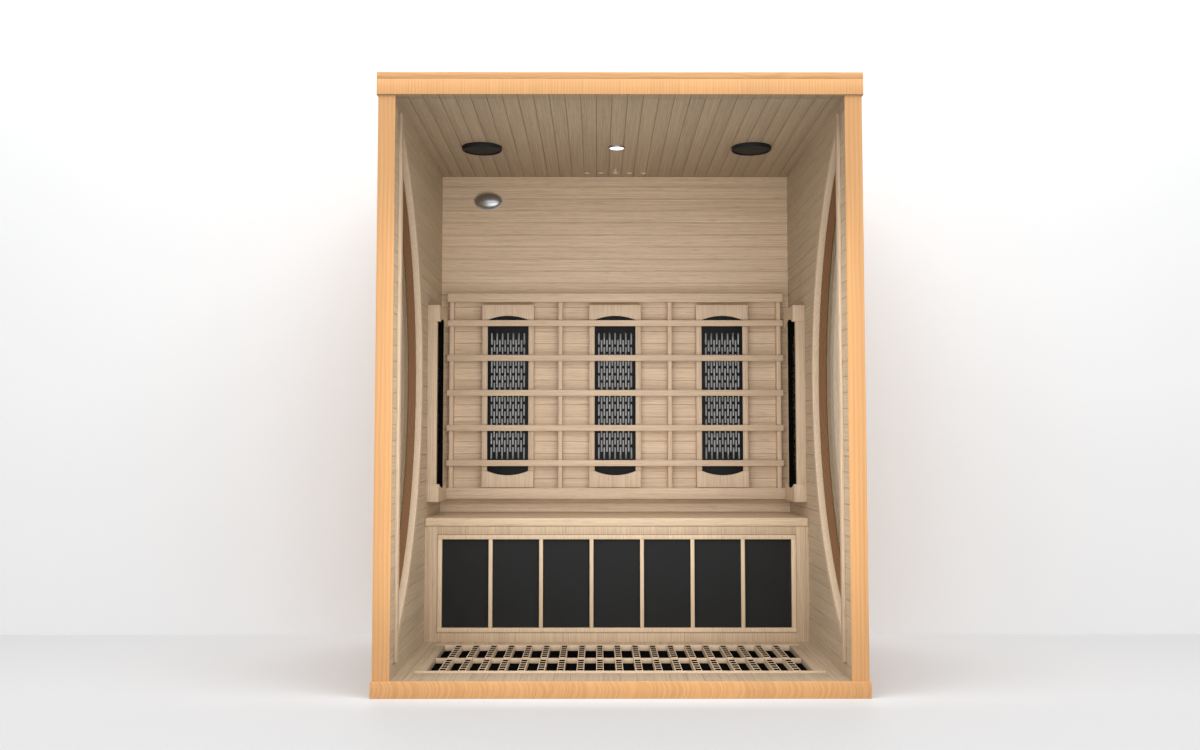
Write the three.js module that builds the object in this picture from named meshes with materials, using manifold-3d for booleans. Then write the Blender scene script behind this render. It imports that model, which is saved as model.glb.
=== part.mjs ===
// Three-person infrared sauna cabin with an open front.
// Millimetres, +Z up, the open front faces -Y, origin at the middle of the footprint on the floor.
import * as THREE from 'three';
import { mergeVertices } from 'three/addons/utils/BufferGeometryUtils.js';
import Module from 'manifold-3d';

const wasm = await Module();
wasm.setup();

// Cabin shell
const CABIN_WIDTH = 1530;
const CABIN_HEIGHT = 1955;
const INNER_DEPTH = 1133;
const WALL_THICKNESS = 54;
const LINING_THICKNESS = 13;
const FLOOR_HEIGHT = 51;
const ROOF_HEIGHT = 73;
const OVERHANG = 5;
const FRONT_STRIP = 6;

// Boards
const BOARD_PITCH = 50;
const CLADDING_PITCH = 98;
const FLOOR_PITCH = 104;
const GROOVE_WIDTH = 3;
const GROOVE_DEPTH = 2;

// Clearances
const SEAT_GAP = 0.3;
const FIT_GAP = 0.4;

// How far a cutting tool runs past the face that it opens
const THROUGH = 1;

// Bow windows: an arc behind a straight bar, set in from the front edge, the floor and the ceiling
const WINDOW_FRONT = 75;
const WINDOW_DEPTH = 505;
const WINDOW_FOOT = 100;
const WINDOW_HEAD = 63;
const WINDOW_ARC_STEPS = 20;
const BAR_FOOT = 44;
const BAR_HEAD = 35;
const TRIM_WIDTH = 31;
const TRIM_PROUD = 10;
const TRIM_LIP = 8;
const GLASS_DEPTH = 38;
const GLASS_THICKNESS = 6;
const GLASS_REBATE = 12;
const BEAD_WIDTH = 28;
const BEAD_PROUD = 4;

// Roof and ceiling
const ROOF_RAIL = 45;
const CEILING_THICKNESS = 12;
const COVER_THICKNESS = 12;
const COVER_LEDGE = 12;

// Roof vent
const VENT_HOLES = 5;
const VENT_HOLE_RADIUS = 12.5;
const VENT_HOLE_SIDES = 8;
const VENT_PITCH = 58;
const VENT_BACK = 72;
const VENT_TRAVEL = VENT_PITCH / 2;
const SLIDER_THICKNESS = 4;
const SLIDER_MARGIN = 20;
const KNOB_FORWARD = 70;
const KNOB_RADIUS = 9;
const KNOB_HEIGHT = 12;
const KNOB_CHAMFER = 2;
const KNOB_SIDES = 10;
const STEM_RADIUS = 4;
const TRAY_WALL = 5;
const TRAY_HEIGHT = 7;

// Ceiling fittings
const FITTING_BACK = 488;
const SPEAKER_SIDE = 211;
const SPEAKER_RADIUS = 73.5;
const SPEAKER_DROP = 15;
const SPEAKER_RIM = 9;
const SPEAKER_DISH = 4;
const SPEAKER_SIDES = 14;
const BASKET_RADIUS = 54;
const BASKET_HEIGHT = 40;
const LIGHT_RADIUS = 31.5;
const LIGHT_RING = 6;
const LIGHT_DROP = 7;
const LIGHT_BEVEL = 2;
const LIGHT_SIDES = 14;
const POWER_UNIT = { width: 300, depth: 200, height: 44, chamfer: 6, side: 281, back: 260 };

// Oval ioniser on the back wall
const IONISER = { side: 190, drop: 102, width: 118, height: 71, depth: 26, rim: 5, shoulder: 0.94 };
const IONISER_STEPS = 5;
const IONISER_SIDES = 18;

// Heaters
const HEATER_WIDTH = 210;
const HEATER_HEIGHT = 740;
const HEADER_DEPTH = 46;
const HEADER_HEIGHT = 66;
const ARC_RISE = 17;
const ARC_STEPS = 6;
const STILE_WIDTH = 22;
const STILE_DEPTH = 36;
const GUARD_EDGE = 35;
const GUARD_CROWN = 44;
const GUARD_SHEET = 2;
const GUARD_RETURN = 23;
const SLOT_COLUMNS = 5;
const SLOT_ROWS = 9;
const SLOT_PITCH_Z = 58;
const SLOT_WIDTH = 6;
const SLOT_LENGTH = 47;
const REFLECTOR_SHEET = 1.5;
const REFLECTOR_RIM = 30;
const REFLECTOR_STEPS = 6;
const REFLECTOR_END = 6;
const ELEMENT_RADIUS = 7;
const ELEMENT_DEPTH = 20;
const ELEMENT_END = 22;
const ELEMENT_SIDES = 6;
const HOLDER_WIDTH = 8;
const HOLDER_END = 42;
const BACK_HEATER_SIDE = 276;
const BACK_HEATER_RISE = 99;
const SIDE_HEATER_BACK = 285;
const SIDE_HEATER_RISE = 57;

// Bench
const BENCH_DEPTH = 419;
const SEAT_TOP = 507;
const SEAT_THICKNESS = 32;
const SEAT_ROUND = 8;
const SEAT_OVERHANG = 4;
const APRON_THICKNESS = 20;
const LATTICE_SIDE = 48;
const LATTICE_FOOT = 36;
const LATTICE_HEAD = 31;
const LATTICE_RAIL = 18;
const LATTICE_MULLION = 16;
const LATTICE_DEPTH = 16;
const LATTICE_PANES = 7;
const LATTICE_PROUD = 3;
const PANEL_THICKNESS = 6;
const PANEL_MARGIN = 8;

// Backrest
const RAIL_THICKNESS = 12;
const TOP_RAIL = { height: 35, gap: 10, side: 31 };
const BOTTOM_RAIL = { height: 44, gap: 2, side: 24 };
const SLAT_HEIGHT = 24;
const SLAT_COUNT = 5;
const SLAT_FOOT = 98;
const SLAT_HEAD = 76;
const POST_WIDTH = 17;
const POST_OUTER_SIDE = 47;
const POST_INNER_SIDE = 489;

// Floor heater
const GRILLE_SIDE = 54;
const GRILLE_FRONT = 137;
const GRILLE_BACK = 68;
const GRILLE_RAIL = 18;
const GRILLE_HEIGHT = 20;
const GRILLE_PROUD = 4;
const GRILLE_CELLS = 20;
const GRILLE_SLAT = 24;
const GRILLE_BAR = 10;
const HEATER_PLATE = 6;

// Places worked out from the driving sizes
const INNER_X = CABIN_WIDTH / 2 - WALL_THICKNESS;
const PANEL_X = INNER_X + LINING_THICKNESS;
const CABIN_DEPTH = INNER_DEPTH + WALL_THICKNESS;
const FRONT_Y = -CABIN_DEPTH / 2;
const BACK_Y = FRONT_Y + INNER_DEPTH;
const BACK_PANEL_Y = BACK_Y + LINING_THICKNESS;
const CEILING_Z = CABIN_HEIGHT - ROOF_HEIGHT;
const WALL_HEIGHT = CEILING_Z - FLOOR_HEIGHT;
const ROOF_X = CABIN_WIDTH / 2 + OVERHANG;
const ROOF_Y = CABIN_DEPTH / 2 + OVERHANG;
const PANEL_THICK = WALL_THICKNESS - LINING_THICKNESS;
const BENCH_Y = BACK_Y - BENCH_DEPTH;
const APRON_Y = BENCH_Y + SEAT_OVERHANG;
const SEAT_BOTTOM = SEAT_TOP - SEAT_THICKNESS;
const POST_DEPTH = HEADER_DEPTH + 2 * SEAT_GAP;
const SLAT_BACK_Y = BACK_Y - POST_DEPTH;
const CEILING_TOP = CEILING_Z + CEILING_THICKNESS;
const COVER_Z = CABIN_HEIGHT - COVER_THICKNESS;
const VENT_Y = BACK_Y - VENT_BACK;
const FITTING_Y = BACK_Y - FITTING_BACK;
const SPEAKER_X = INNER_X - SPEAKER_SIDE;
const WINDOW_BOTTOM = FLOOR_HEIGHT + WINDOW_FOOT;
const WINDOW_TOP = CEILING_Z - WINDOW_HEAD;
const WINDOW_HALF = (WINDOW_TOP - WINDOW_BOTTOM) / 2;
const WINDOW_RADIUS = (WINDOW_HALF ** 2 + WINDOW_DEPTH ** 2) / (2 * WINDOW_DEPTH);
const BACK_HEATER_X = INNER_X - BACK_HEATER_SIDE;
const BACK_HEATER_Z = SEAT_TOP + BACK_HEATER_RISE;
const BACK_HEATER_TOP = BACK_HEATER_Z + HEATER_HEIGHT;
const SIDE_HEATER_Z = SEAT_TOP + SIDE_HEATER_RISE;

// Directions
const RIGHT = new THREE.Vector3(1, 0, 0);
const LEFT = new THREE.Vector3(-1, 0, 0);
const REAR = new THREE.Vector3(0, 1, 0);
const FRONT = new THREE.Vector3(0, -1, 0);
const UP = new THREE.Vector3(0, 0, 1);
const DOWN = new THREE.Vector3(0, 0, -1);

// Finishes
const finish = (color, roughness, metalness = 0) => () =>
  new THREE.MeshStandardMaterial({ color, roughness, metalness, flatShading: true });
const hemlock = finish(0xe8ab6b, 0.55);
const oak = finish(0xc7ad91, 0.6);
const blackMetal = finish(0x1c1b1a, 0.45, 0.2);
const blackPanel = finish(0x26282a, 0.5);
const brightSteel = finish(0xc8c8c6, 0.25, 1);
const chrome = finish(0xb9bbbd, 0.15, 1);
const ceramic = finish(0x8c8a86, 0.7);
const blackPlastic = finish(0x191919, 0.6);
const opal = finish(0xf4f2ec, 0.35);
const paintedSteel = finish(0x9a9c9e, 0.5, 0.4);
const tintedGlass = () => new THREE.MeshStandardMaterial({
  color: 0x5d5a4c, roughness: 0.05, metalness: 0, transparent: true, opacity: 0.45, flatShading: true,
});

// A closed solid from a geometry: shared vertices merged, faces without area dropped
function solid(geometry) {
  geometry.deleteAttribute('normal');
  geometry.deleteAttribute('uv');
  const merged = mergeVertices(geometry, 1e-4);
  const index = merged.index.array;
  const triVerts = [];
  for (let i = 0; i < index.length; i += 3) {
    const [a, b, c] = [index[i], index[i + 1], index[i + 2]];
    if (a !== b && b !== c && c !== a) triVerts.push(a, b, c);
  }
  return new wasm.Manifold(new wasm.Mesh({
    numProp: 3,
    vertProperties: new Float32Array(merged.attributes.position.array),
    triVerts: Uint32Array.from(triVerts),
  }));
}

// A block between two corners
function block(x0, x1, y0, y1, z0, z1) {
  const geometry = new THREE.BoxGeometry(x1 - x0, y1 - y0, z1 - z0);
  geometry.translate((x0 + x1) / 2, (y0 + y1) / 2, (z0 + z1) / 2);
  return solid(geometry);
}

// A profile drawn along u and v and pushed square to both, from a point of origin
function sweep(shape, depth, origin, u, v) {
  const geometry = new THREE.ExtrudeGeometry(shape, { depth, bevelEnabled: false });
  const w = new THREE.Vector3().crossVectors(u, v);
  geometry.applyMatrix4(new THREE.Matrix4().makeBasis(u, v, w).setPosition(...origin));
  return solid(geometry);
}

// A profile of radius and height turned about an upright axis, listed from its lowest point upwards
function turned(profile, steps, x, y, z) {
  const geometry = new THREE.LatheGeometry(profile.map(([r, h]) => new THREE.Vector2(r, h)), steps);
  geometry.rotateX(Math.PI / 2);
  geometry.translate(x, y, z);
  return solid(geometry);
}

function rod(radius, steps, x, y, z0, z1) {
  return turned([[0, z0], [radius, z0], [radius, z1], [0, z1]], steps, x, y, 0);
}

function rectangle(u0, u1, v0, v1) {
  return new THREE.Shape([[u0, v0], [u1, v0], [u1, v1], [u0, v1]].map((p) => new THREE.Vector2(...p)));
}

// Boards laid side by side along u: a flat back and a V at each joint of the face
function boards(length, thickness, pitch) {
  const joints = Math.floor(length / pitch - 0.5);
  const first = (length - (joints - 1) * pitch) / 2;
  const points = [[0, 0], [length, 0], [length, thickness]];
  for (let i = joints - 1; i >= 0; i--) {
    const at = first + i * pitch;
    points.push([at + GROOVE_WIDTH / 2, thickness]);
    points.push([at, thickness - GROOVE_DEPTH]);
    points.push([at - GROOVE_WIDTH / 2, thickness]);
  }
  points.push([0, thickness]);
  return new THREE.Shape(points.map((p) => new THREE.Vector2(...p)));
}

// Points of a shallow arc from one end of a chord to the other, rising square to it
function bow(half, base, rise, steps) {
  const radius = (half * half + rise * rise) / (2 * rise);
  const reach = Math.asin(half / radius);
  return Array.from({ length: steps + 1 }, (_, i) => {
    const angle = reach * (1 - 2 * i / steps);
    return [radius * Math.sin(angle), base + rise - radius * (1 - Math.cos(angle))];
  });
}

const cabin = new THREE.Group();

function add(parent, name, body, material) {
  const { vertProperties, triVerts } = body.getMesh();
  const geometry = new THREE.BufferGeometry();
  geometry.setAttribute('position', new THREE.BufferAttribute(new Float32Array(vertProperties), 3));
  geometry.setIndex(new THREE.BufferAttribute(new Uint32Array(triVerts), 1));
  geometry.computeVertexNormals();
  const mesh = new THREE.Mesh(geometry, material());
  mesh.name = name;
  parent.add(mesh);
}

// Outline of the bow window, drawn inwards from the edge of its trim
function windowOutline(inset) {
  const centreY = WINDOW_FRONT + WINDOW_DEPTH - WINDOW_RADIUS;
  const centreZ = (WINDOW_BOTTOM + WINDOW_TOP) / 2;
  const radius = WINDOW_RADIUS - inset;
  const reach = Math.acos((WINDOW_FRONT + inset - centreY) / radius);
  const arc = new THREE.EllipseCurve(centreY, centreZ, radius, radius, -reach, reach);
  return arc.getPoints(WINDOW_ARC_STEPS);
}

// The window outline pushed through a side wall between two distances from the middle of the cabin
function windowSolid(inset, hole, side, x0, x1) {
  const shape = new THREE.Shape(windowOutline(inset));
  if (hole !== null) shape.holes.push(new THREE.Path(windowOutline(hole)));
  return sweep(shape, x1 - x0, [side > 0 ? x0 : -x1, FRONT_Y, 0], REAR, UP);
}

function acrossWall(side, x0, x1) {
  return side > 0 ? [x0, x1] : [-x1, -x0];
}

function buildSideWall(side, label) {
  const outward = side > 0 ? RIGHT : LEFT;
  const inward = side > 0 ? LEFT : RIGHT;
  const rebate = TRIM_WIDTH - GLASS_REBATE;
  const glassX = INNER_X + GLASS_DEPTH;
  const outerX = INNER_X + WALL_THICKNESS;

  const panelLength = BACK_PANEL_Y - FRONT_Y;
  const panelStart = [side * PANEL_X, side > 0 ? BACK_PANEL_Y : FRONT_Y, FLOOR_HEIGHT];
  const cladding = boards(panelLength, PANEL_THICK, CLADDING_PITCH);
  const strip = acrossWall(side, INNER_X, outerX - GROOVE_DEPTH);
  const panel = sweep(cladding, WALL_HEIGHT, panelStart, side > 0 ? FRONT : REAR, outward)
    .add(block(...strip, FRONT_Y, FRONT_Y + FRONT_STRIP, FLOOR_HEIGHT, CEILING_Z))
    .subtract(windowSolid(TRIM_WIDTH, null, side, INNER_X, outerX + OVERHANG))
    .subtract(windowSolid(rebate, null, side, glassX, outerX + OVERHANG));
  add(cabin, `side_panel_${label}`, panel, hemlock);

  const liningLength = panelLength - FRONT_STRIP;
  const liningStart = [side * PANEL_X, side > 0 ? BACK_PANEL_Y : FRONT_Y + FRONT_STRIP, FLOOR_HEIGHT];
  const planks = boards(WALL_HEIGHT, LINING_THICKNESS, BOARD_PITCH);
  const lipInset = TRIM_WIDTH - TRIM_LIP;
  const lining = sweep(planks, liningLength, liningStart, UP, inward)
    .subtract(windowSolid(lipInset - SEAT_GAP, null, side, INNER_X - THROUGH, PANEL_X + THROUGH));
  add(cabin, `side_lining_${label}`, lining, oak);

  const bar = acrossWall(side, INNER_X - TRIM_PROUD, INNER_X);
  const barFront = FRONT_Y + WINDOW_FRONT;
  const trim = windowSolid(0, TRIM_WIDTH, side, INNER_X - TRIM_PROUD, INNER_X)
    .add(windowSolid(lipInset, TRIM_WIDTH, side, INNER_X - THROUGH, PANEL_X - SEAT_GAP))
    .add(block(...bar, barFront, barFront + TRIM_WIDTH, FLOOR_HEIGHT + BAR_FOOT, CEILING_Z - BAR_HEAD));
  add(cabin, `window_trim_${label}`, trim, oak);

  const glassStart = glassX + SEAT_GAP;
  const glassEnd = glassStart + GLASS_THICKNESS;
  const glass = windowSolid(rebate + SEAT_GAP, null, side, glassStart, glassEnd);
  add(cabin, `window_glass_${label}`, glass, tintedGlass);

  const beadInset = rebate + BEAD_WIDTH - GLASS_REBATE;
  const bead = windowSolid(rebate + SEAT_GAP, beadInset, side, glassEnd + SEAT_GAP, outerX + THROUGH)
    .add(windowSolid(beadInset - BEAD_WIDTH, beadInset, side, outerX, outerX + BEAD_PROUD));
  add(cabin, `window_bead_${label}`, bead, hemlock);
}

function buildBackWall() {
  const panelStart = [-CABIN_WIDTH / 2, BACK_PANEL_Y, FLOOR_HEIGHT];
  const cladding = boards(CABIN_WIDTH, PANEL_THICK, CLADDING_PITCH);
  add(cabin, 'back_panel', sweep(cladding, WALL_HEIGHT, panelStart, RIGHT, REAR), hemlock);

  const liningStart = [-INNER_X, BACK_PANEL_Y, FLOOR_HEIGHT];
  const planks = boards(WALL_HEIGHT, LINING_THICKNESS, BOARD_PITCH);
  const lining = sweep(planks, 2 * INNER_X, liningStart, UP, FRONT);
  add(cabin, 'back_lining', lining, oak);
}

function buildFloor() {
  const pocketDepth = GRILLE_HEIGHT - GRILLE_PROUD + HEATER_PLATE;
  const pocketZ = FLOOR_HEIGHT - pocketDepth;
  const grilleX = INNER_X - GRILLE_SIDE;
  const grilleY = FRONT_Y + GRILLE_FRONT;
  const grilleEnd = BENCH_Y - GRILLE_BACK;
  const planks = boards(2 * ROOF_X, FLOOR_HEIGHT, FLOOR_PITCH);
  const floor = sweep(planks, 2 * ROOF_Y, [-ROOF_X, ROOF_Y, 0], RIGHT, UP)
    .subtract(block(-grilleX - FIT_GAP, grilleX + FIT_GAP, grilleY - FIT_GAP, grilleEnd + FIT_GAP,
      pocketZ, FLOOR_HEIGHT + THROUGH));
  add(cabin, 'floor_panel', floor, hemlock);

  const plate = block(-grilleX, grilleX, grilleY, grilleEnd, pocketZ, pocketZ + HEATER_PLATE);
  add(cabin, 'floor_heater', plate, blackPanel);

  const pitch = (2 * (grilleX - GRILLE_RAIL) + GRILLE_SLAT) / GRILLE_CELLS;
  const barY = (grilleY + grilleEnd - GRILLE_BAR) / 2;
  const grilleZ = pocketZ + HEATER_PLATE;
  const cells = [];
  for (let i = 0; i < GRILLE_CELLS; i++) {
    const start = -grilleX + GRILLE_RAIL + i * pitch;
    const end = start + pitch - GRILLE_SLAT;
    const heights = [grilleZ - THROUGH, grilleZ + GRILLE_HEIGHT + THROUGH];
    cells.push(block(start, end, grilleY + GRILLE_RAIL, barY, ...heights));
    cells.push(block(start, end, barY + GRILLE_BAR, grilleEnd - GRILLE_RAIL, ...heights));
  }
  const grille = cut(block(-grilleX, grilleX, grilleY, grilleEnd, grilleZ, grilleZ + GRILLE_HEIGHT), cells);
  add(cabin, 'floor_grille', grille, oak);
}

function ventHoles(z0, z1) {
  const middle = (VENT_HOLES - 1) / 2;
  return Array.from({ length: VENT_HOLES }, (_, i) =>
    rod(VENT_HOLE_RADIUS, VENT_HOLE_SIDES, (i - middle) * VENT_PITCH, VENT_Y, z0, z1));
}

function cut(body, tools) {
  return tools.reduce((rest, tool) => rest.subtract(tool), body);
}

function buildRoof() {
  const openX = ROOF_X - ROOF_RAIL;
  const openY = ROOF_Y - ROOF_RAIL;
  const ring = rectangle(-ROOF_X, ROOF_X, -ROOF_Y, ROOF_Y);
  ring.holes.push(rectangle(-openX, openX, -openY, openY));
  const coverX = openX + COVER_LEDGE;
  const coverY = openY + COVER_LEDGE;
  const frame = sweep(ring, ROOF_HEIGHT, [0, 0, CEILING_Z], RIGHT, REAR)
    .subtract(block(-coverX, coverX, -coverY, coverY, COVER_Z, CABIN_HEIGHT + THROUGH));
  add(cabin, 'roof_frame', frame, hemlock);

  const cover = cut(block(-coverX + FIT_GAP, coverX - FIT_GAP, -coverY + FIT_GAP, coverY - FIT_GAP,
    COVER_Z, CABIN_HEIGHT), ventHoles(COVER_Z - THROUGH, CABIN_HEIGHT + THROUGH));
  add(cabin, 'roof_cover', cover, hemlock);

  const sliderX = (VENT_HOLES - 1) / 2 * VENT_PITCH + VENT_HOLE_RADIUS + SLIDER_MARGIN;
  const sliderBack = VENT_Y + VENT_HOLE_RADIUS + SLIDER_MARGIN;
  const knobY = VENT_Y - KNOB_FORWARD;
  const sliderFront = knobY - SLIDER_MARGIN;
  const tray = rectangle(-sliderX - FIT_GAP - TRAY_WALL, sliderX + VENT_TRAVEL + FIT_GAP + TRAY_WALL,
    sliderFront - FIT_GAP - TRAY_WALL, sliderBack + FIT_GAP + TRAY_WALL);
  tray.holes.push(rectangle(-sliderX - FIT_GAP, sliderX + VENT_TRAVEL + FIT_GAP,
    sliderFront - FIT_GAP, sliderBack + FIT_GAP));
  const slotHalf = STEM_RADIUS + FIT_GAP;
  const ceilingX = openX - FIT_GAP;
  const ceilingY = openY - FIT_GAP;
  const lining = boards(2 * ceilingX, CEILING_THICKNESS, BOARD_PITCH);
  const ceiling = sweep(lining, 2 * ceilingY, [-ceilingX, -ceilingY, CEILING_TOP], RIGHT, DOWN)
    .add(sweep(tray, TRAY_HEIGHT + THROUGH, [0, 0, CEILING_TOP - THROUGH], RIGHT, REAR));
  const heights = [CEILING_Z - THROUGH, CEILING_TOP + THROUGH];
  const openings = [
    ...ventHoles(...heights),
    block(-slotHalf, VENT_TRAVEL + slotHalf, knobY - slotHalf, knobY + slotHalf, ...heights),
    ...[-1, 1].map((side) =>
      rod(BASKET_RADIUS + FIT_GAP, SPEAKER_SIDES, side * SPEAKER_X, FITTING_Y, ...heights)),
  ];
  add(cabin, 'ceiling_boards', cut(ceiling, openings), oak);

  const plateZ = CEILING_TOP + SEAT_GAP;
  const knobTop = CEILING_Z - SEAT_GAP;
  const knob = [
    [0, knobTop - KNOB_HEIGHT],
    [KNOB_RADIUS - KNOB_CHAMFER, knobTop - KNOB_HEIGHT],
    [KNOB_RADIUS, knobTop - KNOB_HEIGHT + KNOB_CHAMFER],
    [KNOB_RADIUS, knobTop],
    [STEM_RADIUS, knobTop],
    [STEM_RADIUS, plateZ + THROUGH],
    [0, plateZ + THROUGH],
  ];
  const plate = block(-sliderX, sliderX, sliderFront, sliderBack, plateZ, plateZ + SLIDER_THICKNESS);
  const slider = cut(plate, ventHoles(plateZ - THROUGH, plateZ + SLIDER_THICKNESS + THROUGH))
    .add(turned(knob, KNOB_SIDES, 0, knobY, 0));
  add(cabin, 'vent_slider', slider, oak);
}

function buildCeilingFittings() {
  const dishRadius = SPEAKER_RADIUS - SPEAKER_RIM;
  const speaker = [
    [0, SPEAKER_DISH / 2 - SPEAKER_DROP],
    [dishRadius, SPEAKER_DISH - SPEAKER_DROP],
    [dishRadius + SPEAKER_RIM / 3, -SPEAKER_DROP],
    [SPEAKER_RADIUS - SPEAKER_RIM / 3, -SPEAKER_DROP],
    [SPEAKER_RADIUS, SPEAKER_DISH - SPEAKER_DROP],
    [SPEAKER_RADIUS, 0],
    [BASKET_RADIUS, 0],
    [BASKET_RADIUS - SPEAKER_RIM, BASKET_HEIGHT],
    [0, BASKET_HEIGHT],
  ];
  for (const [side, label] of [[-1, 'left'], [1, 'right']]) {
    const body = turned(speaker, SPEAKER_SIDES, side * SPEAKER_X, FITTING_Y, CEILING_Z);
    add(cabin, `speaker_${label}`, body, blackPlastic);
  }

  const lensRadius = LIGHT_RADIUS - LIGHT_RING;
  const ring = [
    [lensRadius + FIT_GAP, LIGHT_BEVEL - LIGHT_DROP],
    [LIGHT_RADIUS - LIGHT_BEVEL, -LIGHT_DROP],
    [LIGHT_RADIUS, LIGHT_BEVEL - LIGHT_DROP],
    [LIGHT_RADIUS, 0],
    [lensRadius + FIT_GAP, 0],
    [lensRadius + FIT_GAP, LIGHT_BEVEL - LIGHT_DROP],
  ];
  add(cabin, 'light_ring', turned(ring, LIGHT_SIDES, 0, FITTING_Y, CEILING_Z), chrome);
  const lens = [
    [0, -LIGHT_DROP],
    [lensRadius / 2, LIGHT_BEVEL / 4 - LIGHT_DROP],
    [lensRadius, LIGHT_BEVEL - LIGHT_DROP],
    [lensRadius, 0],
    [0, 0],
  ];
  add(cabin, 'light_lens', turned(lens, LIGHT_SIDES, 0, FITTING_Y, CEILING_Z), opal);

  const { width, depth, height, chamfer, side, back } = POWER_UNIT;
  const section = new THREE.Shape([
    [0, 0], [depth, 0], [depth, height - chamfer], [depth - chamfer, height], [chamfer, height],
    [0, height - chamfer],
  ].map((p) => new THREE.Vector2(...p)));
  const start = [INNER_X - side - width / 2, BACK_Y - back - depth / 2, CEILING_TOP];
  add(cabin, 'power_unit', sweep(section, width, start, REAR, UP), paintedSteel);
}

function buildIoniser() {
  const { side, drop, width, height, depth, rim, shoulder } = IONISER;
  const dome = [[0, 0], [1, 0], [1, rim]];
  for (let i = 1; i < IONISER_STEPS; i++) {
    const angle = i / IONISER_STEPS * Math.PI / 2;
    dome.push([shoulder * Math.cos(angle), rim + (depth - rim) * Math.sin(angle)]);
  }
  dome.push([0, depth]);
  const geometry = new THREE.LatheGeometry(dome.map((p) => new THREE.Vector2(...p)), IONISER_SIDES);
  geometry.scale(width / 2, 1, height / 2);
  geometry.rotateX(Math.PI);
  geometry.translate(side - INNER_X, BACK_Y, CEILING_Z - drop);
  add(cabin, 'ioniser', solid(geometry), chrome);
}

// Outline of the heater's opening: straight sides, with an arc let into the header and the footer
function heaterOpening(inset) {
  const half = HEATER_WIDTH / 2 - STILE_WIDTH - inset;
  const top = bow(half, HEATER_HEIGHT - HEADER_HEIGHT - inset, ARC_RISE, ARC_STEPS);
  const foot = bow(half, 0, ARC_RISE, ARC_STEPS).map(([u, v]) => [-u, HEADER_HEIGHT + inset - v]);
  return [...top, ...foot].map((p) => new THREE.Vector2(...p));
}

function heaterFrame() {
  const half = HEATER_WIDTH / 2;
  const shape = rectangle(-half, half, 0, HEATER_HEIGHT);
  shape.holes.push(new THREE.Path(heaterOpening(0)));
  const recess = (side) => {
    const [x0, x1] = acrossWall(side, half - STILE_WIDTH - THROUGH, half + THROUGH);
    return block(x0, x1, -HEADER_DEPTH - THROUGH, -STILE_DEPTH, HEADER_HEIGHT, HEATER_HEIGHT - HEADER_HEIGHT);
  };
  return cut(sweep(shape, HEADER_DEPTH, [0, -SEAT_GAP, 0], RIGHT, UP), [recess(-1), recess(1)]);
}

// Bowed sheet with a return along each side, trimmed to the opening and pierced by staggered slots
function heaterGuard() {
  const half = HEATER_WIDTH / 2 - STILE_WIDTH - FIT_GAP;
  const rise = GUARD_CROWN - GUARD_EDGE;
  const radius = (half * half + rise * rise) / (2 * rise);
  const centre = GUARD_CROWN - radius;
  const reach = Math.asin(half / radius);
  const steps = SLOT_COLUMNS;
  const arc = (r) => Array.from({ length: steps + 1 }, (_, i) => {
    const angle = reach * (1 - 2 * i / steps);
    return [r * Math.sin(angle), centre + r * Math.cos(angle)];
  });
  const heel = GUARD_EDGE - GUARD_RETURN;
  const inner = arc(radius - GUARD_SHEET).reverse();
  inner[0][0] = GUARD_SHEET - half;
  inner[steps][0] = half - GUARD_SHEET;
  const profile = [
    [half, heel],
    ...arc(radius),
    [-half, heel],
    [GUARD_SHEET - half, heel],
    ...inner,
    [half - GUARD_SHEET, heel],
  ];
  const shape = new THREE.Shape(profile.map((p) => new THREE.Vector2(...p)));
  const opening = new THREE.Shape(heaterOpening(FIT_GAP));
  const trimmer = sweep(opening, HEADER_DEPTH + THROUGH, [0, 0, 0], RIGHT, UP);
  const slots = [];
  const facet = 2 * reach / steps;
  for (let column = 0; column < SLOT_COLUMNS; column++) {
    const step = column - (SLOT_COLUMNS - 1) / 2;
    const rows = SLOT_ROWS - column % 2;
    const angle = step * facet;
    const depth = centre + (radius - GUARD_SHEET / 2) * Math.cos(angle);
    for (let row = 0; row < rows; row++) {
      const slot = new THREE.BoxGeometry(SLOT_WIDTH, 4 * GUARD_SHEET, SLOT_LENGTH);
      slot.rotateZ(angle);
      slot.translate((radius - GUARD_SHEET / 2) * Math.sin(angle), -depth,
        HEATER_HEIGHT / 2 + (row - (rows - 1) / 2) * SLOT_PITCH_Z);
      slots.push(solid(slot));
    }
  }
  return cut(sweep(shape, HEATER_HEIGHT, [0, 0, 0], LEFT, FRONT).intersect(trimmer), slots);
}

function heaterReflector() {
  const half = HEATER_WIDTH / 2 - STILE_WIDTH - FIT_GAP - GUARD_SHEET - FIT_GAP;
  const rise = REFLECTOR_RIM - SEAT_GAP;
  const back = bow(half, -REFLECTOR_RIM, rise, REFLECTOR_STEPS).map(([u, v]) => [u, -v]);
  const face = bow(half, -REFLECTOR_RIM, rise - REFLECTOR_SHEET, REFLECTOR_STEPS).map(([u, v]) => [u, -v]);
  const lip = face.slice(1, -1).reverse();
  const shape = new THREE.Shape([...back, ...lip].map((p) => new THREE.Vector2(...p)));
  const start = HEADER_HEIGHT + REFLECTOR_END;
  return sweep(shape, HEATER_HEIGHT - 2 * start, [0, 0, start], LEFT, FRONT);
}

function heaterElement() {
  const start = HEADER_HEIGHT + ELEMENT_END;
  const seat = REFLECTOR_SHEET + 2 * SEAT_GAP + FIT_GAP;
  const foot = (z) => block(-HOLDER_WIDTH / 2, HOLDER_WIDTH / 2, -ELEMENT_DEPTH, -seat,
    z - HOLDER_WIDTH / 2, z + HOLDER_WIDTH / 2);
  return rod(ELEMENT_RADIUS, ELEMENT_SIDES, 0, -ELEMENT_DEPTH, start, HEATER_HEIGHT - start)
    .add(foot(HEADER_HEIGHT + HOLDER_END))
    .add(foot(HEATER_HEIGHT - HEADER_HEIGHT - HOLDER_END));
}

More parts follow.
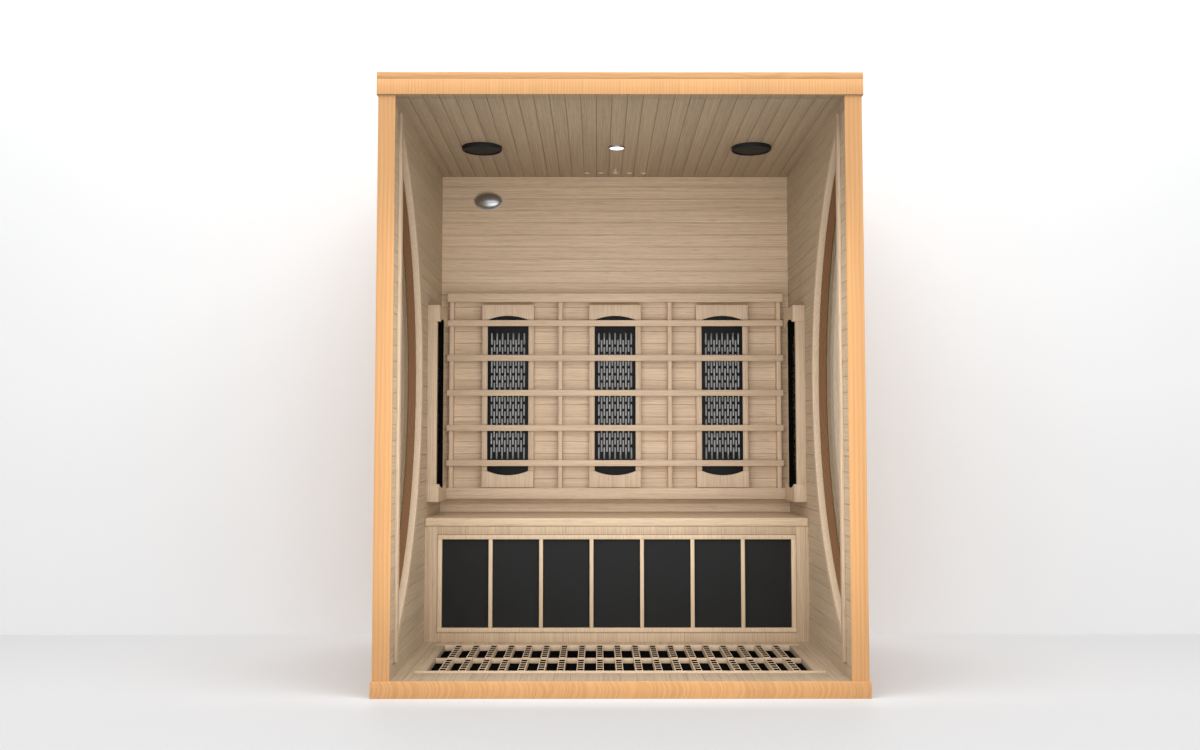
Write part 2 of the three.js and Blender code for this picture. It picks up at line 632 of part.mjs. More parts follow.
function buildHeaters() {
  const sideY = BACK_Y - SIDE_HEATER_BACK;
  const places = [
    ['back_left', [-BACK_HEATER_X, BACK_Y, BACK_HEATER_Z], 0],
    ['back_middle', [0, BACK_Y, BACK_HEATER_Z], 0],
    ['back_right', [BACK_HEATER_X, BACK_Y, BACK_HEATER_Z], 0],
    ['side_left', [-INNER_X, sideY, SIDE_HEATER_Z], Math.PI / 2],
    ['side_right', [INNER_X, sideY, SIDE_HEATER_Z], -Math.PI / 2],
  ];
  for (const [label, position, turn] of places) {
    const heater = new THREE.Group();
    heater.position.set(...position);
    heater.rotation.z = turn;
    cabin.add(heater);
    add(heater, `heater_${label}_frame`, heaterFrame(), oak);
    add(heater, `heater_${label}_guard`, heaterGuard(), blackMetal);
    add(heater, `heater_${label}_reflector`, heaterReflector(), brightSteel);
    add(heater, `heater_${label}_element`, heaterElement(), ceramic);
  }
}

function buildBench() {
  const seat = new THREE.Shape();
  seat.moveTo(BENCH_DEPTH, 0);
  seat.lineTo(BENCH_DEPTH, SEAT_THICKNESS);
  seat.lineTo(SEAT_ROUND, SEAT_THICKNESS);
  for (const angle of [120, 150, 180]) {
    const turn = THREE.MathUtils.degToRad(angle);
    seat.lineTo(SEAT_ROUND * (1 + Math.cos(turn)), SEAT_THICKNESS - SEAT_ROUND * (1 - Math.sin(turn)));
  }
  seat.lineTo(0, 0);
  add(cabin, 'bench_seat', sweep(seat, 2 * INNER_X, [-INNER_X, BENCH_Y, SEAT_BOTTOM], REAR, UP), oak);

  const apronBack = APRON_Y + APRON_THICKNESS;
  const half = INNER_X - LATTICE_SIDE;
  const bottom = FLOOR_HEIGHT + LATTICE_FOOT;
  const top = SEAT_BOTTOM - LATTICE_HEAD;
  const apronHeight = SEAT_BOTTOM - FLOOR_HEIGHT;
  const apronStart = [INNER_X, apronBack, FLOOR_HEIGHT];
  const planks = boards(2 * INNER_X, APRON_THICKNESS, BOARD_PITCH);
  const apron = sweep(planks, apronHeight, apronStart, LEFT, FRONT)
    .subtract(block(-half - FIT_GAP, half + FIT_GAP, APRON_Y - THROUGH, apronBack + THROUGH,
      bottom - FIT_GAP, top + FIT_GAP));
  add(cabin, 'bench_apron', apron, oak);

  const inner = 2 * (half - LATTICE_RAIL);
  const pitch = (inner + LATTICE_MULLION) / LATTICE_PANES;
  const latticeY = APRON_Y - LATTICE_PROUD;
  const latticeBack = latticeY + LATTICE_DEPTH;
  const panes = Array.from({ length: LATTICE_PANES }, (_, i) => {
    const start = -inner / 2 + i * pitch;
    return block(start, start + pitch - LATTICE_MULLION, latticeY - THROUGH, latticeBack + THROUGH,
      bottom + LATTICE_RAIL, top - LATTICE_RAIL);
  });
  const lattice = cut(block(-half, half, latticeY, latticeBack, bottom, top), panes);
  add(cabin, 'bench_heater_lattice', lattice, oak);

  const panelX = half - PANEL_MARGIN;
  const panel = block(-panelX, panelX, latticeBack + SEAT_GAP, latticeBack + SEAT_GAP + PANEL_THICKNESS,
    bottom + PANEL_MARGIN, top - PANEL_MARGIN);
  add(cabin, 'bench_heater_panel', panel, blackPanel);
}

function buildBackrest() {
  const crossPiece = (side, bottom, height) =>
    block(side - INNER_X, INNER_X - side, SLAT_BACK_Y - RAIL_THICKNESS, SLAT_BACK_Y, bottom, bottom + height);
  const railTop = BACK_HEATER_TOP + TOP_RAIL.gap;
  const railBottom = BACK_HEATER_Z - BOTTOM_RAIL.gap - BOTTOM_RAIL.height;
  add(cabin, 'backrest_top_rail', crossPiece(TOP_RAIL.side, railTop, TOP_RAIL.height), oak);
  add(cabin, 'backrest_bottom_rail', crossPiece(BOTTOM_RAIL.side, railBottom, BOTTOM_RAIL.height), oak);
  const firstSlat = BACK_HEATER_Z + SLAT_FOOT;
  const slatPitch = (BACK_HEATER_TOP - SLAT_HEAD - firstSlat) / (SLAT_COUNT - 1);
  for (let i = 0; i < SLAT_COUNT; i++) {
    const bottom = firstSlat + i * slatPitch - SLAT_HEIGHT / 2;
    add(cabin, `backrest_slat_${i + 1}`, crossPiece(TOP_RAIL.side, bottom, SLAT_HEIGHT), oak);
  }
  const outer = INNER_X - POST_OUTER_SIDE;
  const inner = INNER_X - POST_INNER_SIDE;
  const posts = [-outer, -inner, inner, outer];
  posts.forEach((x, i) => {
    const post = block(x - POST_WIDTH / 2, x + POST_WIDTH / 2, SLAT_BACK_Y, BACK_Y,
      railBottom, railTop + TOP_RAIL.height);
    add(cabin, `backrest_post_${i + 1}`, post, oak);
  });
}

buildFloor();
buildSideWall(-1, 'left');
buildSideWall(1, 'right');
buildBackWall();
buildRoof();
buildCeilingFittings();
buildIoniser();
buildHeaters();
buildBench();
buildBackrest();

export default cabin;
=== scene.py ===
"""Looks of a three-person infrared sauna cabin with an open front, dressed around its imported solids."""
from contextlib import contextmanager
import math

import bpy
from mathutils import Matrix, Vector


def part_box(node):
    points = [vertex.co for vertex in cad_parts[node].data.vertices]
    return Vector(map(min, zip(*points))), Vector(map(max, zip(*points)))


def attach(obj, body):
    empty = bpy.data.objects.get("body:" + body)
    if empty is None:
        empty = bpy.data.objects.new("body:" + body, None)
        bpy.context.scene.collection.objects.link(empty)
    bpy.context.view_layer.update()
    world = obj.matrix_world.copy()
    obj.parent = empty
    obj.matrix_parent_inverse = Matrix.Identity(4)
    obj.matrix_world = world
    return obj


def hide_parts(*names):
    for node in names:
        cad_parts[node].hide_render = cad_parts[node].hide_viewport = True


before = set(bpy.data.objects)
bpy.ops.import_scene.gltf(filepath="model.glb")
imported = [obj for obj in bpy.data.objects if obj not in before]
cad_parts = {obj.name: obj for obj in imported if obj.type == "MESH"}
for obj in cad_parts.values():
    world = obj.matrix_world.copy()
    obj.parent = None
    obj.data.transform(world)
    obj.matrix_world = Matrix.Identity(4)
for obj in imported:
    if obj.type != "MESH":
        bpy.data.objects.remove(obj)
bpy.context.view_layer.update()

MM = 0.001

# Camera, from a fit of the cabin's corners
CAMERA_PLACE = (-0.0711, -4.2263, 0.7757)
CAMERA_TILT = math.pi / 2 + 0.06014
CAMERA_TURN = -0.00208
CAMERA_LENS = 35
CAMERA_SENSOR = 36

# Boards: pitch and width of their joints, how far their edges are eased, and which edges count as sharp
LINING_PITCH = 50 * MM
FLOOR_PITCH = 52 * MM
CLADDING_PITCH = 98 * MM
GLUED_PITCH = 96 * MM
JOINT_WIDTH = 1.6 * MM
FINE_JOINT_WIDTH = 1.2 * MM
EASED_EDGE = 1.5 * MM
SOFT_EDGE = 1.2 * MM
FINE_EDGE = 1 * MM
EASE_ANGLE = math.radians(40)
SMOOTH_ANGLE = math.radians(35)

# Heater units, measured from the wall that carries them and from their own foot
HEADER_HEIGHT = 62 * MM
FOOTER_HEIGHT = 66 * MM
HEADER_DEPTH = 46 * MM
ARC_RISE = 17 * MM
STILE_WIDTH = 22 * MM
STILE_DEPTH = 36 * MM
GUARD_EDGE = 35 * MM
GUARD_CROWN = 44 * MM
GUARD_SHEET = 2 * MM
GUARD_RETURN = 23 * MM
GUARD_SHEET_EDGE = 0.35 * MM
GUARD_CLEARANCE = 0.4 * MM
WALL_CLEARANCE = 0.3 * MM
SLOT_COLUMNS = 13
SLOT_COLUMN_PITCH = 11 * MM
SLOT_ROWS = 9
SLOT_ROW_PITCH = 58 * MM
SLOT_WIDTH = 6 * MM
SLOT_LENGTH = 47 * MM
HEADER_STEPS = 24

# Bow windows
WINDOW_SILL = 100 * MM
WINDOW_DROP = 63 * MM
TRIM_WIDTH = 31 * MM
TRIM_LIP = 8 * MM
TRIM_PROUD = 10 * MM
BEAD_WIDTH = 28 * MM
BEAD_REACH = 12 * MM
WINDOW_STEPS = 96
LINER_THICKNESS = 2 * MM
SEAL_THICKNESS = 1.5 * MM

# Floor grille
GRILLE_RAIL = 18 * MM
GRILLE_END_RAIL = 36 * MM
GRILLE_CELLS = 20
GRILLE_SLAT = 24 * MM
GRILLE_SLAT_EDGE = 0.3 * MM
GRILLE_BAR = 10 * MM
GRILLE_BAR_DROP = 3 * MM
LADDER_RAIL = 2.5 * MM
LADDER_SLOTS = 12
LADDER_SLOT = 31 * MM

# Bench and backrest
SEAT_EDGE = 6 * MM
SEAT_EDGE_STEPS = 4
APRON_EDGE = 0.8 * MM
LATTICE_RAIL = 16 * MM
LATTICE_MULLION = 14 * MM
LATTICE_PANES = 7
SHADOW_GAP = 1.2 * MM
BACKREST_EDGE = 1.8 * MM
BACKREST_EDGE_STEPS = 3

# Shell
FASCIA_THICKNESS = 12 * MM
BASE_BOW = 14.0
ROOF_RAIL = 45 * MM
ROOF_STRIP = 21 * MM
COVER_LEDGE = 12 * MM
CEILING_THICKNESS = 12 * MM
VENT_HOLES = 5
VENT_PITCH = 58 * MM
VENT_HOLE_RADIUS = 12.5 * MM
VENT_HOLE_INSET = 20 * MM
VENT_PLATE_EDGE = 0.5 * MM
VENT_KNOB_FORWARD = 70 * MM
VENT_KNOB_RADIUS = 9 * MM
VENT_KNOB_STEPS = 32
VENT_STEM = 4 * MM
HOLE_SIDES = 32
DRILL_PAST = 10 * MM

# Fittings
SPEAKER_RADIUS = 73.5 * MM
SPEAKER_RIM = 9 * MM
SPEAKER_COLLAR = 54 * MM
SPEAKER_MAGNET = 45 * MM
SPEAKER_STEPS = 64
LAMP_RADIUS = 31.5 * MM
LAMP_BEZEL = 5.6 * MM
IONISER_BASE = 6.2 * MM
IONISER_DOME_SHARE = 0.94
IONISER_DOME_STEPS = 8
IONISER_STEPS = 64

# How far a surface leans down, by the height of its normal, and a hair's breadth for tests of place
FACES_DOWN = -0.9
LEANS_DOWN = -0.1
HAIR = 0.1 * MM

# Stage and light
STAGE_SIZE = 40
WALL_Y = 0.62
FLOOR_GREY = (0.73, 0.735, 0.745, 1)
WALL_WHITE = (0.98, 0.99, 1.0, 1)
STAGE_BOUNCE = 0.9
FILL_LIGHT = 0.5
SOFT_LAMPS = {
    "front softbox": {"place": (0, -6.5, 2.6), "target": (0, 0, 0.9), "size": (5, 3), "power": 65},
    "top softbox": {"place": (0, -1.8, 4.6), "target": (0, -0.4, 0.4), "size": (7, 2.5), "power": 165},
    "rear softbox": {"place": (0, 2.6, 3.6), "target": (0, -1.4, 0), "size": (4, 2), "power": 65},
    "doorway fill": {"place": (0, -0.75, 0.85), "target": (0, 1, 0.85), "size": (1.3, 1.2), "power": 8.6},
}


# Small tools for modelling by hand

def clear_selection():
    if bpy.context.mode != "OBJECT":
        bpy.ops.object.mode_set(mode="OBJECT")
    bpy.ops.object.select_all(action="DESELECT")


def pick(piece):
    clear_selection()
    piece.select_set(True)
    bpy.context.view_layer.objects.active = piece


def name_new(name):
    piece = bpy.context.object
    piece.name = name
    piece.data.name = name
    return piece


@contextmanager
def editing(piece):
    """Edit mode on one piece, with all of it selected."""
    pick(piece)
    bpy.ops.object.mode_set(mode="EDIT")
    bpy.ops.mesh.select_all(action="SELECT")
    yield
    bpy.ops.object.mode_set(mode="OBJECT")


@contextmanager
def editing_some(piece, kind, elements, chosen):
    """Edit mode on one piece, with only the faces or edges selected that the test picks."""
    pick(piece)
    bpy.ops.object.mode_set(mode="EDIT")
    bpy.ops.mesh.select_mode(type=kind)
    bpy.ops.mesh.select_all(action="DESELECT")
    bpy.ops.object.mode_set(mode="OBJECT")
    for element in elements:
        element.select = chosen(element)
    bpy.ops.object.mode_set(mode="EDIT")
    yield
    bpy.ops.object.mode_set(mode="OBJECT")


def settle(piece):
    """Puts the object's place, turn and size into its mesh."""
    pick(piece)
    bpy.ops.object.transform_apply(location=True, rotation=True, scale=True)
    return piece


def apply_modifier(piece, kind, **settings):
    pick(piece)
    modifier = piece.modifiers.new(kind.title(), kind)
    for key, value in settings.items():
        setattr(modifier, key, value)
    bpy.ops.object.modifier_apply(modifier=modifier.name)
    return piece


def ease(piece, width=EASED_EDGE, segments=2):
    """Rounds the sharp edges of a piece, as sanding does."""
    return apply_modifier(piece, "BEVEL", width=width, segments=segments, limit_method="ANGLE",
                          angle_limit=EASE_ANGLE)


def clean(piece):
    """Merges doubled points and turns the faces outwards."""
    with editing(piece):
        bpy.ops.mesh.remove_doubles(threshold=1e-5)
        bpy.ops.mesh.normals_make_consistent(inside=False)
    return piece


def join(pieces, name):
    clear_selection()
    for piece in pieces:
        piece.select_set(True)
    bpy.context.view_layer.objects.active = pieces[0]
    if len(pieces) > 1:
        bpy.ops.object.join()
    return name_new(name)


def board(name, low, high, edge=EASED_EDGE, segments=2):
    """A planed board between two corners with its edges eased."""
    clear_selection()
    middle = [(a + b) / 2 for a, b in zip(low, high)]
    bpy.ops.mesh.primitive_cube_add(size=1, location=middle)
    piece = name_new(name)
    piece.scale = [b - a for a, b in zip(low, high)]
    settle(piece)
    return ease(piece, edge, segments) if edge else piece


def copies(piece, count, step):
    """A row of copies of a piece, in one mesh."""
    return apply_modifier(piece, "ARRAY", count=count, use_relative_offset=False,
                          use_constant_offset=True, constant_offset_displace=step)


def carve(piece, cutter):
    """Cuts one piece by another, and deletes the cutter."""
    apply_modifier(piece, "BOOLEAN", operation="DIFFERENCE", object=cutter, solver="EXACT")
    bpy.data.objects.remove(cutter, do_unlink=True)


def lattice_sheet(name, across, up):
    """A flat sheet in X and Z whose lines lie at the given places."""
    clear_selection()
    columns, rows = len(across) - 1, len(up) - 1
    bpy.ops.mesh.primitive_grid_add(x_subdivisions=columns, y_subdivisions=rows, size=1)
    piece = name_new(name)
    for point in piece.data.vertices:
        column = round((point.co.x + 0.5) * columns)
        row = round((point.co.y + 0.5) * rows)
        point.co = (across[column], 0, up[row])
    return piece


def delete_faces(piece, inside):
    """Deletes the faces whose middles the test picks."""
    with editing_some(piece, "FACE", piece.data.polygons, lambda face: inside(face.center)):
        bpy.ops.mesh.delete(type="FACE")


def thicken(piece, depth):
    """Gives a sheet its thickness, away from the side that it faces."""
    return apply_modifier(piece, "SOLIDIFY", thickness=depth, offset=-1)


def outline(name, points):
    """A line through the points, drawn by extruding one vertex from each to the next."""
    clear_selection()
    bpy.ops.mesh.primitive_plane_add(size=MM, location=points[0])
    piece = settle(name_new(name))
    with editing(piece):
        bpy.ops.mesh.select_mode(type="VERT")
        bpy.ops.mesh.merge(type="CENTER")
        for start, end in zip(points, points[1:]):
            step = Vector(end) - Vector(start)
            bpy.ops.mesh.extrude_region_move(TRANSFORM_OT_translate={"value": step})
    return piece


def turned(name, profile, middle, steps=48, axis=(0, 0, 1)):
    """A profile of radius and height turned about an axis, from the axis or back to its own start."""
    middle, axis, radial = Vector(middle), Vector(axis), Vector((1, 0, 0))
    piece = outline(name, [middle + radial * r + axis * h for r, h in profile])
    with editing(piece):
        bpy.ops.mesh.spin(steps=steps, angle=2 * math.pi, center=middle, axis=axis)
    return clean(piece)


def arc_member(name, section, centre, reach):
    """A closed section of distance from the middle and radius, swept along an arc that faces the rear."""
    points = [(x, centre[0] + r * math.cos(reach), centre[1] + r * math.sin(reach))
              for x, r in [*section, section[0]]]
    piece = outline(name, points)
    with editing(piece):
        bpy.ops.mesh.remove_doubles(threshold=1e-6)
        bpy.ops.mesh.select_all(action="SELECT")
        bpy.ops.mesh.spin(steps=WINDOW_STEPS, angle=2 * reach, center=(0, *centre), axis=(1, 0, 0))
    return clean(piece)


def trim_front(piece, y):
    """Cuts off what lies in front of a plane and closes the ends."""
    with editing(piece):
        bpy.ops.mesh.bisect(plane_co=(0, y, 0), plane_no=(0, 1, 0), use_fill=True, clear_inner=True)
    return clean(piece)


def dress(piece, material, slot, *nodes, body="cabin"):
    """Finishes a new piece: its material, its shading, the body it rides and the nodes it stands for."""
    pick(piece)
    bpy.ops.object.shade_smooth_by_angle(angle=SMOOTH_ANGLE)
    piece.data.materials.clear()
    piece.data.materials.append(material)
    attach(piece, body)
    if nodes:
        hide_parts(*nodes)
    return piece


def tint_faces(piece, material, chosen):
    """Gives the faces that the test picks one more material."""
    piece.data.materials.append(material)
    index = len(piece.data.materials) - 1
    for face in piece.data.polygons:
        if chosen(face):
            face.material_index = index


def paint(node, material):
    """Gives a node that keeps its own shape a better material."""
    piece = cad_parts[node]
    piece.data.materials.clear()
    piece.data.materials.append(material)


# Small tools for node trees

class Tree:
    """Adds nodes to a tree and wires their inputs in one call."""

    def __init__(self, tree):
        self.tree = tree

    def add(self, kind, settings=None, **inputs):
        node = self.tree.nodes.new(kind)
        for key, value in (settings or {}).items():
            setattr(node, key, value)
        for key, value in inputs.items():
            self.put(node, key, value)
        return node

    def put(self, node, key, value):
        by_number = key[0] == "i" and key[1:].isdigit()
        socket = node.inputs[int(key[1:]) if by_number else key.replace("_", " ")]
        if isinstance(value, bpy.types.NodeSocket):
            self.tree.links.new(value, socket)
        else:
            socket.default_value = value

    def math(self, operation, a, b=0.0, c=0.0):
        return self.add("ShaderNodeMath", {"operation": operation}, i0=a, i1=b, i2=c).outputs[0]

    def ramp(self, value, low, high, start=0.0, end=1.0):
        node = self.add("ShaderNodeMapRange", {"interpolation_type": "SMOOTHSTEP"}, Value=value,
                        From_Min=low, From_Max=high, To_Min=start, To_Max=end)
        return node.outputs[0]

    def mix(self, factor, a, b, blend="MIX"):
        node = self.add("ShaderNodeMix", {"data_type": "RGBA", "blend_type": blend}, i0=factor, i6=a, i7=b)
        return node.outputs[2]

    def noise(self, vector, scale, detail=2.0, roughness=0.5):
        node = self.add("ShaderNodeTexNoise", Vector=vector, Scale=scale, Detail=detail,
                        Roughness=roughness)
        return node.outputs[0]

    def stretch(self, vector, scale):
        return self.add("ShaderNodeVectorMath", {"operation": "MULTIPLY"}, i0=vector, i1=scale).outputs[0]


def new_group(name, inputs):
    """A group with the named inputs of each kind, which puts out a colour, a roughness and a height."""
    group = bpy.data.node_groups.new(name, "ShaderNodeTree")
    outputs = {"Color": ["Color"], "Float": ["Roughness", "Height"]}
    for way, sockets in (("INPUT", inputs), ("OUTPUT", outputs)):
        for kind, labels in sockets.items():
            for label in labels:
                group.interface.new_socket(label, in_out=way, socket_type=f"NodeSocket{kind}")
    tree = Tree(group)
    return group, tree, tree.add("NodeGroupInput").outputs, tree.add("NodeGroupOutput")


# How the noises of the wood are stretched along and across its grain, and how deep the finishes are
FIBRE_STRETCH = (2.6, 300, 300)
DRIFT_STRETCH = (3, 14, 14)
PORE_STRETCH = (14, 700, 700)
WOOD_BUMP = 0.25
WOOD_RELIEF = 0.4 * MM
COAT_RELIEF = 0.3 * MM


def board_wood_group():
    """Sawn boards side by side: fibre, growth bands, pores, a tone for each board and dark joints."""
    group, t, given, result = new_group("Board wood", {
        "Vector": ["Vector"],
        "Color": ["Pale", "Dark", "Line"],
        "Float": ["Pitch", "Phase", "Spread", "Joint", "Joint Width", "Pores", "Rings", "Bands", "Sway"],
    })
    place = t.add("ShaderNodeSeparateXYZ", Vector=given["Vector"]).outputs
    boards = t.math("DIVIDE", t.math("SUBTRACT", place[1], given["Phase"]), given["Pitch"])
    number = t.math("FLOOR", boards)
    chance = t.add("ShaderNodeTexWhiteNoise", {"noise_dimensions": "1D"}, W=number).outputs[0]
    along = t.math("MULTIPLY_ADD", chance, 7.3, place[0])
    deep = t.math("MULTIPLY_ADD", chance, 3.1, place[2])
    grain = t.add("ShaderNodeCombineXYZ", X=along, Y=place[1], Z=deep).outputs[0]

    fibre = t.noise(t.stretch(grain, FIBRE_STRETCH), 1, 5, 0.66)
    drift = t.math("SUBTRACT", t.noise(t.stretch(grain, DRIFT_STRETCH), 1, 2), 0.5)
    drift = t.math("MULTIPLY", drift, given["Sway"])
    rings = t.math("MULTIPLY_ADD", place[2], 0.7, place[1])
    rings = t.math("MULTIPLY", t.math("MULTIPLY_ADD", drift, 0.09, rings), given["Rings"])
    bands = t.math("MULTIPLY_ADD", t.math("SINE", rings), 0.5, 0.5)
    pores = t.ramp(t.noise(t.stretch(grain, PORE_STRETCH), 1, 2), 0.57, 0.72)
    pores = t.math("MULTIPLY", pores, given["Pores"])

    figure = t.math("MULTIPLY_ADD", t.math("SUBTRACT", bands, 0.5), given["Bands"], fibre)
    figure = t.math("MULTIPLY_ADD", drift, 0.25, figure)
    figure = t.ramp(figure, 0.22, 0.78)
    tint = t.mix(figure, given["Pale"], given["Dark"])
    tint = t.mix(pores, tint, given["Line"])
    tone = t.math("MULTIPLY_ADD", t.math("SUBTRACT", chance, 0.5), given["Spread"], 1)
    tone = t.add("ShaderNodeCombineXYZ", X=tone, Y=tone, Z=tone).outputs[0]
    tint = t.mix(1, tint, tone, "MULTIPLY")

    part = t.math("SUBTRACT", boards, number)
    edge = t.math("MULTIPLY", t.math("MINIMUM", part, t.math("SUBTRACT", 1, part)), given["Pitch"])
    joint = t.math("SUBTRACT", 1, t.ramp(t.math("DIVIDE", edge, given["Joint Width"]), 0.35, 1))
    joint = t.math("MULTIPLY", joint, given["Joint"])
    t.put(result, "Color", t.mix(joint, tint, given["Line"]))
    t.put(result, "Roughness", t.ramp(fibre, 0.25, 0.75, 0.46, 0.64))
    height = t.math("SUBTRACT", t.math("MULTIPLY", fibre, 0.5), t.math("MULTIPLY", pores, 0.6))
    t.put(result, "Height", t.math("SUBTRACT", height, t.math("MULTIPLY", joint, 1.5)))
    return group


def satin_coat_group():
    """A sprayed or moulded surface: a fine orange peel, and faint cloudy changes of tone and gloss."""
    group, t, given, result = new_group("Satin coat", {
        "Vector": ["Vector"],
        "Color": ["Tint", "Shade"],
        "Float": ["Grain Scale", "Gloss"],
    })
    cloud = t.noise(given["Vector"], 9, 3)
    grain = t.noise(given["Vector"], given["Grain Scale"], 2)
    t.put(result, "Color", t.mix(t.ramp(cloud, 0.3, 0.7), given["Tint"], given["Shade"]))
    change = t.math("ADD", t.ramp(cloud, 0.3, 0.7, -0.04, 0.04), t.ramp(grain, 0.3, 0.7, -0.03, 0.03))
    t.put(result, "Roughness", t.math("ADD", given["Gloss"], change))
    t.put(result, "Height", grain)
    return group


BOARD_WOOD = board_wood_group()
SATIN_COAT = satin_coat_group()


def new_material(name):
    material = bpy.data.materials.new(name)
    material.use_nodes = True
    material.node_tree.nodes.clear()
    tree = Tree(material.node_tree)
    shader = tree.add("ShaderNodeBsdfPrincipled")
    tree.add("ShaderNodeOutputMaterial", Surface=shader.outputs[0])
    place = tree.add("ShaderNodeTexCoord").outputs["Object"]
    return material, tree, shader, place


def wire(tree, shader, effect, bump, depth):
    """Feeds a group's colour, roughness and height into a shader."""
    tree.put(shader, "Base_Color", effect.outputs["Color"])
    tree.put(shader, "Roughness", effect.outputs["Roughness"])
    normal = tree.add("ShaderNodeBump", Strength=bump, Distance=depth,
                      Height=effect.outputs["Height"])
    tree.put(shader, "Normal", normal.outputs[0])


def tone_and_light_copy(wood_tones, pale, dark):
    """The same wood in two other tones: for some pieces the wood's own tone, for others a lighter copy
    where light falls and darker copies where shade falls, painted into the colour.
    """
    return {**wood_tones, "Pale": (*pale, 1), "Dark": (*dark, 1)}


OAK = {"Pale": (0.76, 0.585, 0.415, 1), "Dark": (0.55, 0.41, 0.28, 1), "Line": (0.20, 0.135, 0.085, 1),
       "Spread": 0.09, "Pores": 0.5, "Rings": 1100, "Bands": 0.12, "Sway": 0.4}
# Lighter and darker copies of one oak lining, with light and shade painted into their colour: the back
# wall lighter, and the side walls, side frames, ceiling and floor darker.
BACK_LIT_OAK = tone_and_light_copy(OAK, (0.83, 0.645, 0.45), (0.56, 0.42, 0.285))
SIDE_FRAME_SHADE_OAK = tone_and_light_copy(OAK, (0.66, 0.505, 0.35), (0.48, 0.355, 0.24))
PALE_OAK = tone_and_light_copy(OAK, (0.75, 0.585, 0.40), (0.59, 0.445, 0.295))
SIDE_SHADE_OAK = tone_and_light_copy(OAK, (0.57, 0.45, 0.315), (0.40, 0.31, 0.21))
CEILING_SHADE_OAK = tone_and_light_copy(OAK, (0.48, 0.375, 0.265), (0.34, 0.258, 0.173))
FLOOR_SHADE_OAK = tone_and_light_copy(OAK, (0.49, 0.378, 0.265), (0.34, 0.255, 0.17))
# Painted light: a very pale copy of the oak for the walls of the vent holes, as if light fell on them.
HOLE_LIT_OAK = tone_and_light_copy(OAK, (0.93, 0.745, 0.54), (0.86, 0.675, 0.475))
APRON_OAK = tone_and_light_copy(OAK, (0.65, 0.49, 0.33), (0.44, 0.318, 0.21))
HEMLOCK = {"Pale": (0.80, 0.435, 0.18, 1), "Dark": (0.70, 0.355, 0.135, 1), "Line": (0.38, 0.19, 0.065, 1),
           "Spread": 0.07, "Pores": 0.1, "Rings": 640, "Bands": 0.25, "Sway": 0.12}
# Painted light and shade: a lighter copy of the hemlock for the roof boards, and a darker one for the side
# panels.
ROOF_LIT_HEMLOCK = tone_and_light_copy(HEMLOCK, (0.87, 0.475, 0.197), (0.75, 0.385, 0.148))
SIDE_SHADE_HEMLOCK = tone_and_light_copy(HEMLOCK, (0.76, 0.41, 0.168), (0.66, 0.332, 0.125))
FIGURED_HEMLOCK = {**HEMLOCK, "Rings": 420, "Bands": 0.35, "Sway": 1}
ARCHED_HEMLOCK = {**HEMLOCK, "Rings": 370, "Bands": 0.36, "Sway": 1.5}
# Painted shade: a near-black brown copy of the hemlock for the window reveal, and for a shadow line under
# the roof boards.
REVEAL_SHADE_HEMLOCK = tone_and_light_copy(HEMLOCK, (0.195, 0.083, 0.025), (0.145, 0.06, 0.017))
AXES = {"x": 0, "y": 1, "z": 2}


def wood(name, palette, along, across, pitch=GLUED_PITCH, phase=0.0, joint=0.0,
         joint_width=JOINT_WIDTH, bow=0.0, bow_middle=0.0):
    """Boards side by side along one axis, with grain along another, straight or bowed about a middle."""
    material, tree, shader, place = new_material(name)
    parts = tree.add("ShaderNodeSeparateXYZ", Vector=place).outputs
    rest = ({"x", "y", "z"} - {along, across}).pop()
    sideways = parts[AXES[across]]
    if bow:
        off = tree.math("SUBTRACT", parts[AXES[along]], bow_middle)
        sideways = tree.math("MULTIPLY_ADD", tree.math("MULTIPLY", off, off), bow, sideways)
    turned_place = tree.add("ShaderNodeCombineXYZ", X=parts[AXES[along]], Y=sideways,
                            Z=parts[AXES[rest]]).outputs[0]
    values = {"Vector": turned_place, "Pitch": pitch, "Phase": phase, "Joint": joint,
              "Joint_Width": joint_width, **palette}
    effect = tree.add("ShaderNodeGroup", {"node_tree": BOARD_WOOD}, **values)
    wire(tree, shader, effect, WOOD_BUMP, WOOD_RELIEF)
    return material


def satin(name, tint, shade, gloss, grain=900, bump=0.12, **sockets):
    material, tree, shader, place = new_material(name)
    effect = tree.add("ShaderNodeGroup", {"node_tree": SATIN_COAT}, Vector=place, Tint=tint, Shade=shade,
                      Grain_Scale=grain, Gloss=gloss)
    wire(tree, shader, effect, bump, COAT_RELIEF)
    for key, value in sockets.items():
        tree.put(shader, key, value)
    return material


def tinted_glass():
    material, tree, shader, place = new_material("tinted glass")
    smears = tree.noise(place, 5, 3)
    tree.put(shader, "Base_Color", (0.71, 0.68, 0.57, 1))
    tree.put(shader, "Roughness", tree.ramp(smears, 0.45, 0.8, 0.01, 0.05))
    tree.put(shader, "Transmission_Weight", 1.0)
    tree.put(shader, "IOR", 1.45)
    return material


def lit_lens():
    material, tree, shader, place = new_material("lit opal lens")
    cloud = tree.noise(place, 120, 2)
    glow = tree.mix(tree.ramp(cloud, 0.3, 0.7), (1, 0.97, 0.92, 1), (1, 0.99, 0.97, 1))
    tree.put(shader, "Base_Color", glow)
    tree.put(shader, "Emission_Color", glow)
    tree.put(shader, "Emission_Strength", 1.6)
    tree.put(shader, "Roughness", 0.35)
    return material


def first_joint(low, high, pitch):
    """Where the first joint lies when boards of one pitch are centred between two edges."""
    length = high - low
    joints = math.floor(length / pitch - 0.5)
    return low + (length - (joints - 1) * pitch) / 2


